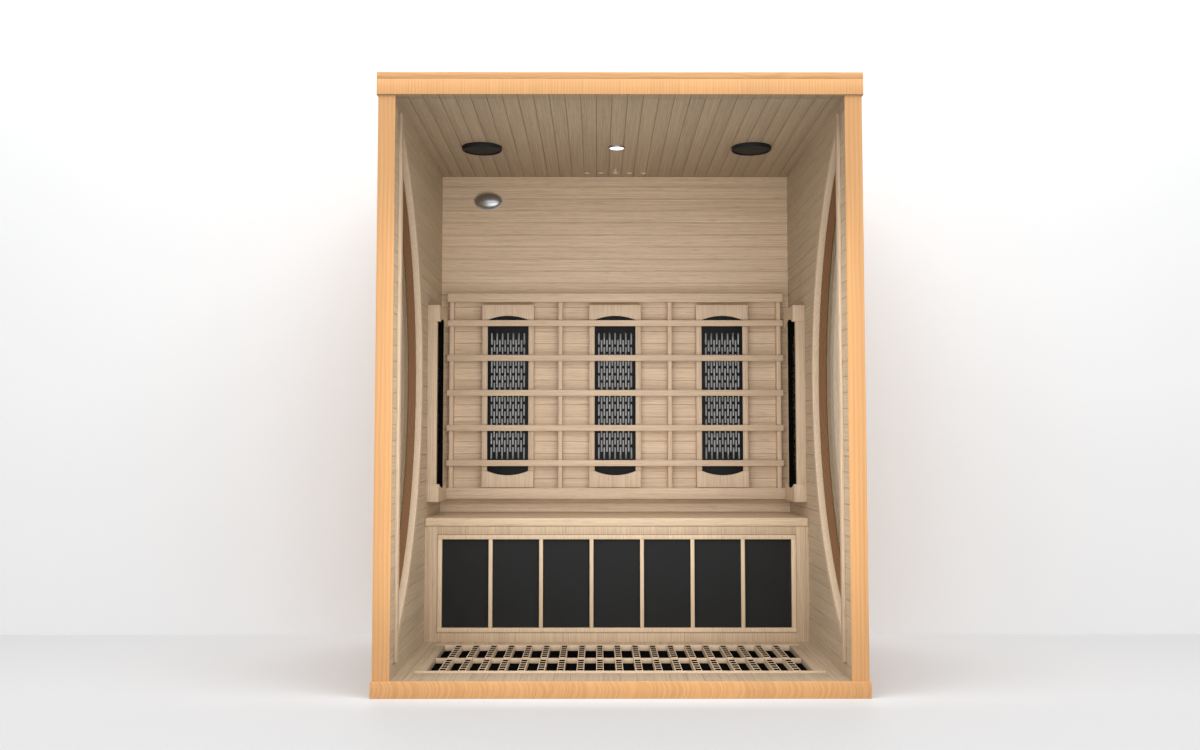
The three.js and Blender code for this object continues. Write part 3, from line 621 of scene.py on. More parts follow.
# Sizes read from the frame
floor_low, floor_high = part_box("floor_panel")
roof_low, roof_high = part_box("roof_frame")
cover_low, cover_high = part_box("roof_cover")
ceiling_low, ceiling_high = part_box("ceiling_boards")
lining_low, lining_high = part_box("back_lining")
panel_low, panel_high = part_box("side_panel_right")
back_low, back_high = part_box("back_panel")
apron_low, apron_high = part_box("bench_apron")
INNER_X = lining_high.x
BACK_Y = lining_low.y
CEILING_Z = roof_low.z
FLOOR_Z = floor_high.z
CLADDING_X = back_high.x
WINDOW_FOOT = FLOOR_Z + WINDOW_SILL
WINDOW_HEAD = CEILING_Z - WINDOW_DROP
VENT_XS = [(i - (VENT_HOLES - 1) / 2) * VENT_PITCH for i in range(VENT_HOLES)]
VENT_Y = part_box("vent_slider")[1].y - VENT_HOLE_RADIUS - VENT_HOLE_INSET
KNOB_Y = VENT_Y - VENT_KNOB_FORWARD

wall_joint = first_joint(lining_low.z, lining_high.z, LINING_PITCH)
ceiling_joint = first_joint(ceiling_low.x, ceiling_high.x, LINING_PITCH)
apron_joint = first_joint(apron_low.x, apron_high.x, LINING_PITCH)
side_cladding_joint = first_joint(panel_low.y, panel_high.y, CLADDING_PITCH)
back_cladding_joint = first_joint(back_low.x, back_high.x, CLADDING_PITCH)
floor_joint = first_joint(floor_low.x, floor_high.x, 2 * FLOOR_PITCH)

# Finishes, several with light and shade painted into their colour
back_wall_oak = wood("oak back wall", BACK_LIT_OAK, "x", "z", LINING_PITCH, wall_joint, 0.22)
side_wall_oak = wood("oak side wall", SIDE_SHADE_OAK, "y", "z", LINING_PITCH, wall_joint, 0.2)
ceiling_oak = wood("oak ceiling", CEILING_SHADE_OAK, "y", "x", LINING_PITCH, ceiling_joint, 0.9)
floor_oak = wood("oak floor", FLOOR_SHADE_OAK, "y", "x", FLOOR_PITCH, floor_joint, 0.35)
apron_oak = wood("oak bench front", APRON_OAK, "z", "x", LINING_PITCH, apron_joint, 0.35,
                 FINE_JOINT_WIDTH)
rail_oak = wood("oak rails", OAK, "x", "z")
lattice_oak = wood("oak bench lattice", PALE_OAK, "z", "x")
seat_oak = wood("oak seat", PALE_OAK, "x", "y", joint=0.25)
upright_oak = wood("oak uprights", OAK, "z", "x")
# Painted light on the vent hole walls.
hole_lit_oak = wood("oak vent hole walls painted light", HOLE_LIT_OAK, "z", "x")
# Painted shade: a darker copy of the oak for the heater frames and window trims on the side walls.
side_upright_shade_oak = wood("oak side uprights painted shade", SIDE_FRAME_SHADE_OAK, "z", "y")
grille_oak = wood("oak floor grille", OAK, "y", "x")
side_hemlock = wood("hemlock sides", SIDE_SHADE_HEMLOCK, "z", "y", CLADDING_PITCH, side_cladding_joint, 0.5)
back_hemlock = wood("hemlock back", HEMLOCK, "z", "x", CLADDING_PITCH, back_cladding_joint, 0.5)
fascia_hemlock = wood("hemlock front boards", FIGURED_HEMLOCK, "x", "z")
base_hemlock = wood("hemlock base boards", ARCHED_HEMLOCK, "z", "x", bow=BASE_BOW,
                    bow_middle=(floor_low.z + floor_high.z) / 2)
roof_hemlock = wood("hemlock roof boards", ROOF_LIT_HEMLOCK, "z", "x")
side_fascia_hemlock = wood("hemlock side boards", HEMLOCK, "y", "z")
cover_hemlock = wood("hemlock roof cover", HEMLOCK, "x", "y", joint=0.3)
bead_hemlock = wood("hemlock window beads", HEMLOCK, "z", "y")
# Painted shade: the window reveal and the shadow line under the roof boards.
reveal_shade_brown = wood("window reveal painted shade", REVEAL_SHADE_HEMLOCK, "z", "y")
guard_black = satin("black guard coat", (0.013, 0.0135, 0.0145, 1), (0.016, 0.0165, 0.0175, 1), 0.48,
                    Specular_IOR_Level=0.05)
# Painted shade: a black deeper than the guard coat, for the side guards and the floor heater under the
# grille, and for the wooden walls of the grille's ladder slots.
shade_deep_black = satin("matt black with painted shade", (0.003, 0.003, 0.003, 1), (0.005, 0.005, 0.005, 1), 0.6,
                   Specular_IOR_Level=0.0)
panel_black = satin("black heater laminate", (0.0082, 0.0084, 0.0087, 1), (0.0112, 0.0115, 0.0119, 1),
                    0.62, 600, Specular_IOR_Level=0.22)
speaker_black = satin("black speaker plastic", (0.008, 0.0092, 0.0105, 1), (0.013, 0.0145, 0.016, 1),
                      0.6, 500, 0.3, Specular_IOR_Level=0.3)
reflector_steel = satin("reflector sheet", (0.95, 0.96, 0.97, 1), (0.90, 0.91, 0.92, 1), 0.45, 200, 0.1)
element_coat = satin("element ceramic", (0.86, 0.86, 0.85, 1), (0.80, 0.80, 0.79, 1), 0.6)
chrome = satin("satin chrome", (0.50, 0.53, 0.55, 1), (0.42, 0.445, 0.465, 1), 0.3, 300, 0.05,
               Metallic=1.0)
# Painted light: a pale seal that stands for the bright outside seen through the tinted glass.
seal_outside_light = satin("glazing seal painted as outside light", (0.66, 0.62, 0.50, 1), (0.62, 0.58, 0.465, 1), 0.7)
case_grey = satin("grey coated case", (0.32, 0.33, 0.34, 1), (0.28, 0.29, 0.30, 1), 0.5)
glass = tinted_glass()
lens_glow = lit_lens()


# Shell

def fascia_ring(name, low, high, thickness):
    """Front, back and side boards round a slab: the front and back run through, the sides butt to them."""
    front = board(name, low, (high.x, low.y + thickness, high.z))
    back = board(name, (low.x, high.y - thickness, low.z), high)
    sides = []
    for x in (low.x, high.x - thickness):
        sides.append(board(name, (x, low.y + thickness, low.z),
                           (x + thickness, high.y - thickness, high.z)))
    return join([front, back], f"{name}_front_back"), join(sides, f"{name}_sides")


def build_floor():
    ends, sides = fascia_ring("floor_fascia", floor_low, floor_high, FASCIA_THICKNESS)
    dress(ends, base_hemlock, "outer_wood", "floor_panel")
    dress(sides, side_fascia_hemlock, "outer_wood", "floor_panel")

    low = floor_low + Vector((FASCIA_THICKNESS, FASCIA_THICKNESS, 0))
    high = floor_high - Vector((FASCIA_THICKNESS, FASCIA_THICKNESS, 0))
    pocket_low, pocket_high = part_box("floor_grille")
    gap = GUARD_CLEARANCE
    stops = [pocket_low.x - gap, pocket_high.x + gap]
    x = floor_joint - math.ceil((floor_joint - low.x) / FLOOR_PITCH) * FLOOR_PITCH
    while x < high.x + FLOOR_PITCH:
        stops.append(min(max(x, low.x), high.x))
        x += FLOOR_PITCH
    stops = sorted(set(stops))
    planks = []
    for x0, x1 in zip(stops, stops[1:]):
        over_pocket = x0 >= pocket_low.x - 2 * gap and x1 <= pocket_high.x + 2 * gap
        runs = [(low.y, high.y)]
        if over_pocket:
            runs = [(low.y, pocket_low.y - gap), (pocket_high.y + gap, high.y)]
        for y0, y1 in runs:
            planks.append(board("plank", (x0, y0, low.z), (x1, y1, high.z), FINE_EDGE))
    heater_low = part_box("floor_heater")[0]
    planks.append(board("base", (pocket_low.x - gap, pocket_low.y - gap, low.z),
                        (pocket_high.x + gap, pocket_high.y + gap, heater_low.z - gap), 0))
    dress(join(planks, "floor_boards"), floor_oak, "lining_wood", "floor_panel")
    # Painted shade: the floor heater under the grille in the deeper black.
    paint("floor_heater", shade_deep_black)


def build_floor_grille():
    low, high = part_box("floor_grille")
    pieces = []
    for y in (low.y, high.y - GRILLE_RAIL):
        pieces.append(board("rail", (low.x, y, low.z), (high.x, y + GRILLE_RAIL, high.z), FINE_EDGE))
    ends = []
    for x in (low.x, high.x - GRILLE_END_RAIL):
        ends.append(board("end rail", (x, low.y + GRILLE_RAIL, low.z),
                          (x + GRILLE_END_RAIL, high.y - GRILLE_RAIL, high.z), FINE_EDGE))
    dress(join(ends, "floor_grille_ends"), floor_oak, "lining_wood", "floor_grille")
    bar_y = (low.y + high.y - GRILLE_BAR) / 2
    pieces.append(board("bar", (low.x + GRILLE_END_RAIL, bar_y, low.z),
                        (high.x - GRILLE_END_RAIL, bar_y + GRILLE_BAR, high.z - GRILLE_BAR_DROP),
                        FINE_EDGE))
    pitch = (high.x - low.x - 2 * GRILLE_END_RAIL + GRILLE_SLAT) / GRILLE_CELLS
    start, end = low.y + GRILLE_RAIL, high.y - GRILLE_RAIL
    rung_pitch = (end - start) / LADDER_SLOTS
    stops = [start]
    for i in range(LADDER_SLOTS):
        middle = start + (i + 0.5) * rung_pitch
        stops += [middle - LADDER_SLOT / 2, middle + LADDER_SLOT / 2]
    stops.append(end)
    slot_half = GRILLE_SLAT / 2 - LADDER_RAIL
    slat = lattice_sheet("slat", [-GRILLE_SLAT / 2, -slot_half, slot_half, GRILLE_SLAT / 2], stops)
    centre_x = low.x + GRILLE_END_RAIL + pitch - GRILLE_SLAT / 2
    for point in slat.data.vertices:
        point.co = (centre_x + point.co.x, point.co.z, high.z)

    def off_slot(y):
        """How far a place along a slat lies from the middle of the slot beside it."""
        step = (y - start) / rung_pitch
        return abs(step - math.floor(step) - 0.5) * rung_pitch

    def in_slot(at):
        return abs(at.x - centre_x) < slot_half and off_slot(at.y) < LADDER_SLOT / 2

    # Picks the wooden faces that line the ladder slots, which get black as painted shade in the slots.
    def lines_slot(face):
        at = face.center
        slats = (at.x - centre_x) / pitch
        in_width = abs(slats - round(slats)) * pitch < slot_half + HAIR
        in_length = start < at.y < end and off_slot(at.y) < LADDER_SLOT / 2 + HAIR
        clear_of_bar = abs(at.y - bar_y) > GRILLE_BAR * 2
        return in_width and in_length and clear_of_bar and abs(face.normal.z) < 0.5

    delete_faces(slat, in_slot)
    clean(slat)
    thicken(slat, high.z - low.z)
    clean(slat)
    copies(slat, GRILLE_CELLS - 1, (pitch, 0, 0))
    wooden = join([ease(slat, GRILLE_SLAT_EDGE, 1), *pieces], "floor_grille_wood")
    dress(wooden, grille_oak, "lining_wood", "floor_grille")
    # Painted shade: the slot walls in black.
    tint_faces(wooden, shade_deep_black, lines_slot)


def drill_vent_holes(piece, z0, z1):
    """Drills the row of vent holes through a board that lies between two heights."""
    z0, z1 = z0 - DRILL_PAST, z1 + DRILL_PAST
    for x in VENT_XS:
        clear_selection()
        bpy.ops.mesh.primitive_cylinder_add(vertices=HOLE_SIDES, radius=VENT_HOLE_RADIUS, depth=z1 - z0,
                                            location=(x, VENT_Y, (z0 + z1) / 2))
        carve(piece, settle(name_new("hole")))


def build_roof():
    seam = Vector((roof_high.x, roof_high.y, roof_high.z - ROOF_STRIP))
    ends, sides = fascia_ring("roof_fascia", roof_low, seam, ROOF_RAIL)
    dress(ends, roof_hemlock, "outer_wood", "roof_frame")
    # Painted shade: the undersides of the front and back roof boards take the ceiling's darker oak, and
    # their sloping eased edges take the near-black brown as a painted shadow line.
    tint_faces(ends, ceiling_oak, lambda face: face.normal.z < FACES_DOWN)
    tint_faces(ends, reveal_shade_brown, lambda face: FACES_DOWN <= face.normal.z < LEANS_DOWN)
    dress(sides, side_fascia_hemlock, "outer_wood", "roof_frame")
    seam = Vector((roof_low.x, roof_low.y, roof_high.z - ROOF_STRIP))
    ends, sides = fascia_ring("roof_edge", seam, roof_high, ROOF_RAIL - COVER_LEDGE)
    dress(ends, fascia_hemlock, "outer_wood", "roof_frame")
    dress(sides, side_fascia_hemlock, "outer_wood", "roof_frame")

    cover = board("roof_cover_board", cover_low, cover_high, FINE_EDGE)
    drill_vent_holes(cover, cover_low.z, cover_high.z)
    dress(cover, cover_hemlock, "outer_wood", "roof_cover")


def build_ceiling():
    strip_low = (ceiling_joint - LINING_PITCH, ceiling_low.y, CEILING_Z)
    strip_high = (ceiling_joint, ceiling_high.y, CEILING_Z + CEILING_THICKNESS)
    count = round((ceiling_high.x - ceiling_joint) / LINING_PITCH) + 1
    deck = copies(board("ceiling_planks", strip_low, strip_high, SOFT_EDGE), count, (LINING_PITCH, 0, 0))
    drill_vent_holes(deck, CEILING_Z, CEILING_Z + CEILING_THICKNESS)
    half = VENT_STEM + GUARD_CLEARANCE
    slot_low = (-half, KNOB_Y - half, CEILING_Z - DRILL_PAST)
    slot_high = (VENT_PITCH / 2 + half, KNOB_Y + half, CEILING_Z + CEILING_THICKNESS + DRILL_PAST)
    carve(deck, board("slot", slot_low, slot_high, 0))
    dress(deck, ceiling_oak, "lining_wood", "ceiling_boards")

    def in_hole(face):
        at = face.center
        return any(math.hypot(at.x - x, at.y - VENT_Y) < VENT_HOLE_RADIUS + HAIR for x in VENT_XS)

    # Painted light: the walls of the vent holes in the very pale oak.
    tint_faces(deck, hole_lit_oak, in_hole)


def build_vent():
    low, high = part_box("vent_slider")
    plate_z = CEILING_Z + CEILING_THICKNESS + WALL_CLEARANCE
    plate = board("plate", (low.x, low.y, plate_z), high, VENT_PLATE_EDGE)
    drill_vent_holes(plate, plate_z, high.z)
    top = CEILING_Z - WALL_CLEARANCE - low.z
    stem_top = plate_z - low.z
    radius = VENT_KNOB_RADIUS
    profile = [(0, 0), (0.5 * radius, 0), (0.8 * radius, 1 * MM), (radius, 3 * MM), (radius, 5 * MM),
               (0.78 * radius, 8 * MM), (0.85 * radius, top), (VENT_STEM, top), (VENT_STEM, stem_top),
               (0, stem_top)]
    knob = turned("knob", profile, (0, KNOB_Y, low.z), VENT_KNOB_STEPS)
    dress(join([plate, knob], "vent_slider_wood"), rail_oak, "lining_wood", "vent_slider", body="vent")


def build_walls():
    for label in ("left", "right"):
        paint(f"side_panel_{label}", side_hemlock)
        paint(f"side_lining_{label}", side_wall_oak)
        paint(f"window_glass_{label}", glass)
    paint("back_panel", back_hemlock)
    paint("back_lining", back_wall_oak)


# Bow windows

class BowWindow:
    """The measures that the pieces of one bow window share. Distances count from the cabin's middle."""

    def __init__(self, side, label):
        self.side, self.label = side, label
        self.trim_low, self.trim_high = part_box(f"window_trim_{label}")
        self.front, back = self.trim_low.y, self.trim_high.y
        depth = back - self.front
        half = (WINDOW_HEAD - WINDOW_FOOT) / 2
        self.radius = (half * half + depth * depth) / (2 * depth)
        self.centre = (back - self.radius, (WINDOW_FOOT + WINDOW_HEAD) / 2)
        self.reach = math.acos((self.front - self.centre[0]) / self.radius)
        self.inner = self.radius - TRIM_WIDTH
        self.lip = max(abs(self.trim_low.x), abs(self.trim_high.x))
        self.bead_low, self.bead_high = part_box(f"window_bead_{label}")
        self.bead_outer = max(abs(self.bead_low.x), abs(self.bead_high.x))
        self.bead_seat = min(abs(self.bead_low.x), abs(self.bead_high.x))
        self.bead_hub = self.bead_high.y - self.centre[0] - BEAD_WIDTH

    def arc(self, name, section, front):
        """A section of distances and radii, swept along the arc and cut off at the front."""
        placed = [(self.side * x, r) for x, r in section]
        return trim_front(arc_member(name, placed, self.centre, self.reach), front)

    def chord(self, radius, y):
        """The heights at which an arc of one radius crosses an upright line."""
        half = math.sqrt(radius ** 2 - (y - self.centre[0]) ** 2)
        return self.centre[1] - half, self.centre[1] + half

    def strip(self, name, distances, depths, heights, edge=0):
        """A straight member along the front of the window."""
        xs = sorted(self.side * x for x in distances)
        return board(name, (xs[0], depths[0], heights[0]), (xs[1], depths[1], heights[1]), edge)


def build_window_trim(window):
    face = INNER_X - TRIM_PROUD
    front, straight = window.front, window.front + TRIM_WIDTH
    radius, inner, lip = window.radius, window.inner, window.lip
    section = [(face, radius), (INNER_X, radius), (INNER_X, inner + TRIM_LIP), (lip, inner + TRIM_LIP),
               (lip, inner), (face, inner)]
    arc = ease(window.arc("arc", section, straight))
    bar = window.strip("bar", (face, INNER_X), (front, straight),
                       (window.trim_low.z, window.trim_high.z), EASED_EDGE)
    tongue = window.strip("tongue", (INNER_X, lip), (straight - TRIM_LIP, straight),
                          window.chord(inner, straight))
    trim = join([arc, bar, tongue], f"window_frame_{window.label}")
    # Painted shade: the side trim in the darker copy of the oak.
    dress(trim, side_upright_shade_oak, "lining_wood", f"window_trim_{window.label}")


# A thin liner in the window reveal, in near-black brown: painted shade, standing for the reveal in shade
# behind the tinted glass.
def build_window_liner(window):
    glass_low, glass_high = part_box(f"window_glass_{window.label}")
    pane = min(abs(glass_low.x), abs(glass_high.x)) - WALL_CLEARANCE
    inner, lip = window.inner, window.lip
    thin = inner - LINER_THICKNESS
    start = window.front + TRIM_WIDTH
    straight = start + LINER_THICKNESS
    arc = window.arc("liner", [(lip, inner), (pane, inner), (pane, thin), (lip, thin)], straight)
    strip = window.strip("liner strip", (lip, pane), (start, straight), window.chord(inner, straight))
    dress(join([arc, strip], f"window_liner_{window.label}"), reveal_shade_brown, "outer_wood")


def build_window_bead(window):
    outer, seat, hub, wall = window.bead_outer, window.bead_seat, window.bead_hub, CLADDING_X
    front = window.bead_low.y
    straight = front + BEAD_WIDTH
    rim = window.bead_high.y - window.centre[0]
    rebate = rim - BEAD_REACH - WALL_CLEARANCE
    section = [(outer, rim), (wall, rim), (wall, rebate), (seat, rebate), (seat, hub), (outer, hub)]
    arc = ease(window.arc("bead", section, straight), FINE_EDGE)
    strip = window.strip("strip", (wall, outer), (front, straight), window.chord(rim, front), FINE_EDGE)
    seat_front = front + BEAD_REACH + WALL_CLEARANCE
    inner_strip = window.strip("inner strip", (seat, wall), (seat_front, straight),
                               window.chord(rebate, straight))
    bead = join([arc, strip, inner_strip], f"window_bead_wood_{window.label}")
    dress(bead, bead_hemlock, "outer_wood", f"window_bead_{window.label}")


# The seal's pale colour is painted light: the bright outside seen through the tinted glass.
def build_window_seal(window):
    outer, seat, hub = window.bead_outer - EASED_EDGE, window.bead_seat, window.bead_hub
    thin = hub - SEAL_THICKNESS
    section = [(outer, hub), (seat, hub), (seat, thin), (outer, thin)]
    seal = window.arc(f"window_seal_{window.label}", section, window.bead_low.y + BEAD_WIDTH)
    dress(seal, seal_outside_light, "tinted_glass")


# Heaters

def arc_lift(x, half):
    """Height of the header's arc over its chord."""
    radius = (half * half + ARC_RISE * ARC_RISE) / (2 * ARC_RISE)
    return ARC_RISE - radius + math.sqrt(max(radius * radius - x * x, 0))


def heater_frame(width, height):
    """Header, footer and stiles of a heater, at the origin with its back to +Y."""
    half = width / 2 - STILE_WIDTH
    arc_xs = [half * (2 * i / HEADER_STEPS - 1) for i in range(HEADER_STEPS + 1)]
    header = lattice_sheet("header", [-width / 2, *arc_xs, width / 2], [0, 1])
    for point in header.data.vertices:
        lift = arc_lift(point.co.x, half) if abs(point.co.x) < half else 0
        z = height if point.co.z > 0.5 else height - HEADER_HEIGHT + lift
        point.co = (point.co.x, -WALL_CLEARANCE - HEADER_DEPTH, z)
    thicken(header, HEADER_DEPTH)
    ease(clean(header), SOFT_EDGE)
    pick(header)
    bpy.ops.object.duplicate()
    footer = bpy.context.object
    for point in footer.data.vertices:
        z = height - point.co.z
        point.co.z = z + FOOTER_HEIGHT - HEADER_HEIGHT if z > HEADER_HEIGHT / 3 else z
    clean(footer)
    stiles = []
    for side in (-1, 1):
        xs = sorted((side * half, side * width / 2))
        stiles.append(board("stile", (xs[0], -WALL_CLEARANCE - STILE_DEPTH, FOOTER_HEIGHT),
                            (xs[1], -WALL_CLEARANCE, height - HEADER_HEIGHT), SOFT_EDGE))
    return join([header, footer, *stiles], "heater_frame")


def heater_guard(width, height):
    """Bowed black sheet with staggered slots, at the origin with its back to +Y."""
    half = width / 2 - STILE_WIDTH - GUARD_CLEARANCE
    middle = height / 2
    columns = [(i - (SLOT_COLUMNS - 1) / 2) * SLOT_COLUMN_PITCH for i in range(SLOT_COLUMNS)]
    rows = []
    for i in range(SLOT_COLUMNS):
        count = SLOT_ROWS - i % 2
        rows.append([middle + (r - (count - 1) / 2) * SLOT_ROW_PITCH for r in range(count)])
    across = [-half, half]
    for x in columns:
        across += [x - SLOT_WIDTH / 2, x + SLOT_WIDTH / 2]
    up = [0, height]
    for z in rows[0] + rows[1]:
        up += [z - SLOT_LENGTH / 2, z + SLOT_LENGTH / 2]
    sheet = lattice_sheet("guard", sorted(across), sorted(up))

    def in_slot(at):
        column = round(at.x / SLOT_COLUMN_PITCH + (SLOT_COLUMNS - 1) / 2)
        if not 0 <= column < SLOT_COLUMNS or abs(at.x - columns[column]) > SLOT_WIDTH / 2:
            return False
        return any(abs(at.z - z) < SLOT_LENGTH / 2 for z in rows[column])

    delete_faces(sheet, in_slot)
    rise = GUARD_CROWN - GUARD_EDGE
    radius = (half * half + rise * rise) / (2 * rise)
    for point in sheet.data.vertices:
        x, z = point.co.x, point.co.z
        bow = GUARD_CROWN - radius + math.sqrt(radius * radius - x * x)
        if z > height - MM:
            z = height - HEADER_HEIGHT - GUARD_CLEARANCE + arc_lift(x, half)
        elif z < MM:
            z = FOOTER_HEIGHT + GUARD_CLEARANCE - arc_lift(x, half)
        point.co = (x, -bow, z)
    fold_back(sheet, half)
    face_front(sheet)
    thicken(sheet, GUARD_SHEET)
    return ease(sheet, GUARD_SHEET_EDGE, 1)


def fold_back(sheet, half):
    """Draws the upright edges of a guard back towards the wall."""
    points = sheet.data.vertices

    def upright(edge):
        a, b = (points[i].co for i in edge.vertices)
        return abs(abs(a.x) - half) < 1e-6 and abs(a.x - b.x) < 1e-6

    with editing_some(sheet, "EDGE", sheet.data.edges, upright):
        bpy.ops.mesh.extrude_region_move(TRANSFORM_OT_translate={"value": (0, GUARD_RETURN, 0)})


def face_front(sheet):
    """Turns an open sheet so that its faces look along -Y."""
    clean(sheet)
    if sum(face.normal.y * face.area for face in sheet.data.polygons) > 0:
        with editing(sheet):
            bpy.ops.mesh.flip_normals()


def set_on_wall(piece, name, place, turn):
    """A copy of a heater piece with its own mesh, turned and set on its wall."""
    pick(piece)
    bpy.ops.object.duplicate()
    copy = name_new(name)
    copy.location = place
    copy.rotation_euler = (0, 0, turn)
    return settle(copy)


def build_heaters():
    low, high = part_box("heater_back_middle_frame")
    width, height = high.x - low.x, high.z - low.z
    wooden = heater_frame(width, height)
    black = heater_guard(width, height)
    for label in ("back_left", "back_middle", "back_right", "side_left", "side_right"):
        low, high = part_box(f"heater_{label}_frame")
        middle = (low + high) / 2
        if label.startswith("back"):
            place, turn = (middle.x, BACK_Y, low.z), 0
            grain, coat = upright_oak, guard_black
        else:
            side = -1 if label.endswith("left") else 1
            place, turn = (side * INNER_X, middle.y, low.z), -side * math.pi / 2
            # Painted shade: side heaters take darker copies of the frame oak and of the guard black.
            grain, coat = side_upright_shade_oak, shade_deep_black
        node = f"heater_{label}"
        dress(set_on_wall(wooden, f"{node}_wood", place, turn), grain, "lining_wood", f"{node}_frame")
        dress(set_on_wall(black, f"{node}_grille", place, turn), coat, "guard_black", f"{node}_guard")
        paint(f"{node}_reflector", reflector_steel)
        paint(f"{node}_element", element_coat)
    for pattern in (wooden, black):
        bpy.data.objects.remove(pattern, do_unlink=True)


# Bench and backrest

def build_bench():
    low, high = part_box("bench_seat")
    seat = board("bench_top", low, high, SEAT_EDGE, SEAT_EDGE_STEPS)
    dress(seat, seat_oak, "lining_wood", "bench_seat")
    paint("bench_heater_panel", panel_black)

    low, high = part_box("bench_heater_lattice")
    gap = Vector((SHADOW_GAP, 0, SHADOW_GAP))
    hole_low, hole_high = low - gap, high + gap
    apron = []
    for x0, x1, z0, z1 in (
        (apron_low.x, hole_low.x, apron_low.z, apron_high.z),
        (hole_high.x, apron_high.x, apron_low.z, apron_high.z),
        (hole_low.x, hole_high.x, apron_low.z, hole_low.z),
        (hole_low.x, hole_high.x, hole_high.z, apron_high.z),
    ):
        apron.append(board("apron", (x0, apron_low.y, z0), (x1, apron_high.y, z1), APRON_EDGE))
    dress(join(apron, "bench_front_boards"), apron_oak, "lining_wood", "bench_apron")

    pieces = []
    for z in (low.z, high.z - LATTICE_RAIL):
        pieces.append(board("rail", (low.x, low.y, z), (high.x, high.y, z + LATTICE_RAIL), FINE_EDGE))
    uprights = [(low.x, LATTICE_RAIL), (high.x - LATTICE_RAIL, LATTICE_RAIL)]
    pitch = (high.x - low.x - 2 * LATTICE_RAIL + LATTICE_MULLION) / LATTICE_PANES
    for i in range(1, LATTICE_PANES):
        uprights.append((low.x + LATTICE_RAIL + i * pitch - LATTICE_MULLION, LATTICE_MULLION))
    for x, width in uprights:
        pieces.append(board("upright", (x, low.y, low.z + LATTICE_RAIL),
                            (x + width, high.y, high.z - LATTICE_RAIL), FINE_EDGE))
    dress(join(pieces, "bench_lattice_wood"), lattice_oak, "lining_wood", "bench_heater_lattice")


def build_backrest():
    for node in sorted(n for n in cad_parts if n.startswith("backrest")):
        low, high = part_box(node)
        grain = upright_oak if "post" in node else rail_oak
        member = board(f"{node}_wood", low, high, BACKREST_EDGE, BACKREST_EDGE_STEPS)
        dress(member, grain, "lining_wood", node)


# Fittings

def build_speakers():
    for label in ("left", "right"):
        low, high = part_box(f"speaker_{label}")
        middle = (low + high) / 2
        radius, dish = SPEAKER_RADIUS, SPEAKER_RADIUS - SPEAKER_RIM
        drop, height = CEILING_Z - low.z, high.z - low.z
        profile = [(0, 1.0 * MM), (0.35 * dish, 1.4 * MM), (0.7 * dish, 2.6 * MM),
                   (dish - 1 * MM, 4.2 * MM), (dish, 4.4 * MM), (dish + 0.6 * MM, 1.2 * MM),
                   (dish + 2 * MM, 0.2 * MM), (radius - 3.5 * MM, 0), (radius - 1.2 * MM, 1.2 * MM),
                   (radius, 4 * MM), (radius, drop), (SPEAKER_COLLAR, drop), (SPEAKER_MAGNET, height),
                   (0, height)]
        body = turned(f"speaker_body_{label}", profile, (middle.x, middle.y, low.z), SPEAKER_STEPS)
        dress(body, speaker_black, "speaker_black", f"speaker_{label}")


def build_light():
    low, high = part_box("light_ring")
    middle = (low + high) / 2
    radius, inner = LAMP_RADIUS, LAMP_RADIUS - LAMP_BEZEL
    drop = high.z - low.z
    profile = [(inner, 2 * MM), (inner + 1.2 * MM, 0.6 * MM), (radius - 2.4 * MM, 0),
               (radius - 0.7 * MM, 0.7 * MM), (radius, 2.4 * MM), (radius, drop), (inner, drop),
               (inner, 2 * MM)]
    bezel = turned("light_bezel", profile, (middle.x, middle.y, low.z))
    dress(bezel, chrome, "chrome", "light_ring")
    low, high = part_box("light_lens")
    radius, drop = inner - GUARD_CLEARANCE, high.z - low.z
    profile = [(0, 0), (0.5 * radius, 0.3 * MM), (0.85 * radius, 1.1 * MM), (radius, 2 * MM),
               (radius, drop), (0, drop)]
    lens = turned("light_diffuser", profile, (middle.x, middle.y, low.z))
    dress(lens, lens_glow, "lamp_lens", "light_lens")


def build_ioniser():
    low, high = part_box("ioniser")
    middle = (low + high) / 2
    depth = high.y - low.y
    share, base = IONISER_DOME_SHARE, IONISER_BASE
    profile = [(0, 0), (1, 0), (1, 4 * MM), (0.985, 5 * MM), (0.95, 5.2 * MM), (share, base)]
    for i in range(1, IONISER_DOME_STEPS):
        angle = i / IONISER_DOME_STEPS * math.pi / 2
        profile.append((share * math.cos(angle), base + (depth - base) * math.sin(angle)))
    profile.append((0, depth))
    piece = turned("ioniser_dome", profile, (0, 0, 0), IONISER_STEPS, axis=(0, -1, 0))
    piece.scale = ((high.x - low.x) / 2, 1, (high.z - low.z) / 2)
    piece.location = (middle.x, BACK_Y, middle.z)
    dress(clean(settle(piece)), chrome, "chrome", "ioniser")


# Stage, light and camera

def build_stage():
    clear_selection()
    bpy.ops.mesh.primitive_plane_add(size=STAGE_SIZE, location=(0, 0, 0))
    ground = settle(name_new("stage_floor"))
    clear_selection()
    bpy.ops.mesh.primitive_plane_add(size=STAGE_SIZE, location=(0, WALL_Y, STAGE_SIZE / 2),
                                     rotation=(math.pi / 2, 0, 0))
    wall = settle(name_new("stage_wall"))
    wall.visible_shadow = False
    wall.visible_diffuse = False
    ground.data.materials.append(stage_finish("stage grey floor", FLOOR_GREY))
    wall.data.materials.append(stage_finish("stage white wall", WALL_WHITE, one_sided=True))


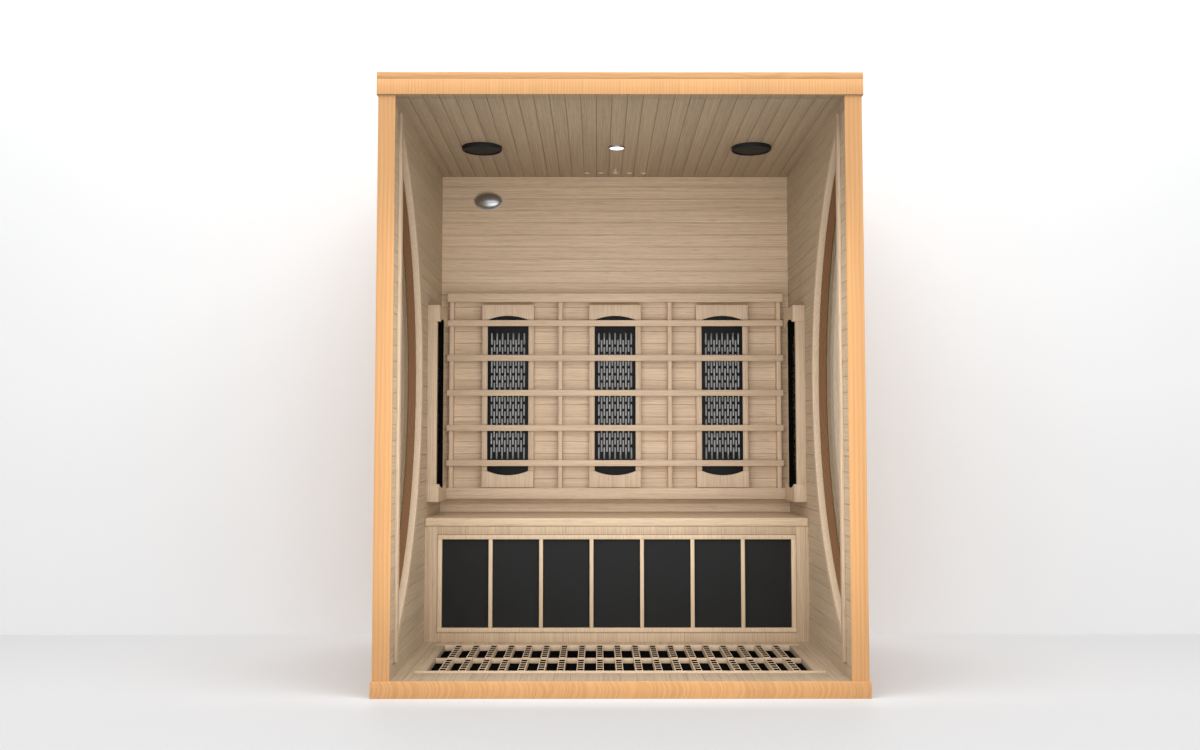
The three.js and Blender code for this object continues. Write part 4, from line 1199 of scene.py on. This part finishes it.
def stage_finish(name, tone, one_sided=False):
    material, tree, shader, place = new_material(name)
    seen = tree.add("ShaderNodeLightPath").outputs["Is Camera Ray"]
    cloud = tree.noise(place, 1.5, 2)
    low = [c * 0.985 for c in tone[:3]] + [1]
    dull = [c * STAGE_BOUNCE for c in tone[:3]] + [1]
    tree.put(shader, "Base_Color", tree.mix(seen, dull, tree.mix(cloud, tone, low)))
    tree.put(shader, "Roughness", 0.9)
    tree.put(shader, "Specular_IOR_Level", 0.1)
    if one_sided:
        clear = tree.add("ShaderNodeBsdfTransparent")
        behind = tree.add("ShaderNodeNewGeometry").outputs["Backfacing"]
        choice = tree.add("ShaderNodeMixShader", i0=behind, i1=shader.outputs[0],
                          i2=clear.outputs[0])
        out = next(n for n in material.node_tree.nodes if n.type == "OUTPUT_MATERIAL")
        material.node_tree.links.new(choice.outputs[0], out.inputs["Surface"])
    return material


def soft_lamp(name, place, target, size, power):
    clear_selection()
    bpy.ops.object.light_add(type="AREA", location=place)
    lamp = bpy.context.object
    lamp.name = name
    lamp.data.shape = "RECTANGLE"
    lamp.data.size, lamp.data.size_y = size
    lamp.data.energy = power
    lamp.rotation_euler = (Vector(target) - Vector(place)).to_track_quat("-Z", "Y").to_euler()
    lamp.visible_camera = False
    lamp.visible_transmission = False


def build_light_and_camera():
    world = bpy.data.worlds.new("studio")
    bpy.context.scene.world = world
    world.use_nodes = True
    world.node_tree.nodes.clear()
    tree = Tree(world.node_tree)
    path = tree.add("ShaderNodeLightPath").outputs
    seen = tree.math("MAXIMUM", path["Is Camera Ray"], path["Is Transmission Ray"])
    seen = tree.math("MAXIMUM", seen, path["Is Glossy Ray"])
    strength = tree.ramp(seen, 0, 1, FILL_LIGHT, 1.0)
    sky = tree.add("ShaderNodeBackground", Color=(1, 1, 1, 1), Strength=strength)
    tree.add("ShaderNodeOutputWorld", Surface=sky.outputs[0])
    for name, values in SOFT_LAMPS.items():
        soft_lamp(name, **values)

    clear_selection()
    bpy.ops.object.camera_add(location=CAMERA_PLACE, rotation=(CAMERA_TILT, 0, CAMERA_TURN))
    camera = bpy.context.object
    camera.data.lens = CAMERA_LENS
    camera.data.sensor_width = CAMERA_SENSOR
    bpy.context.scene.camera = camera
    bpy.context.scene.view_settings.view_transform = "Standard"


build_floor()
build_floor_grille()
build_walls()
for bow_window in (BowWindow(-1, "left"), BowWindow(1, "right")):
    build_window_trim(bow_window)
    build_window_liner(bow_window)
    build_window_bead(bow_window)
    build_window_seal(bow_window)
build_roof()
build_ceiling()
build_vent()
build_heaters()
build_bench()
build_backrest()
build_speakers()
build_light()
build_ioniser()
paint("power_unit", case_grey)
build_stage()
build_light_and_camera()
clear_selection()
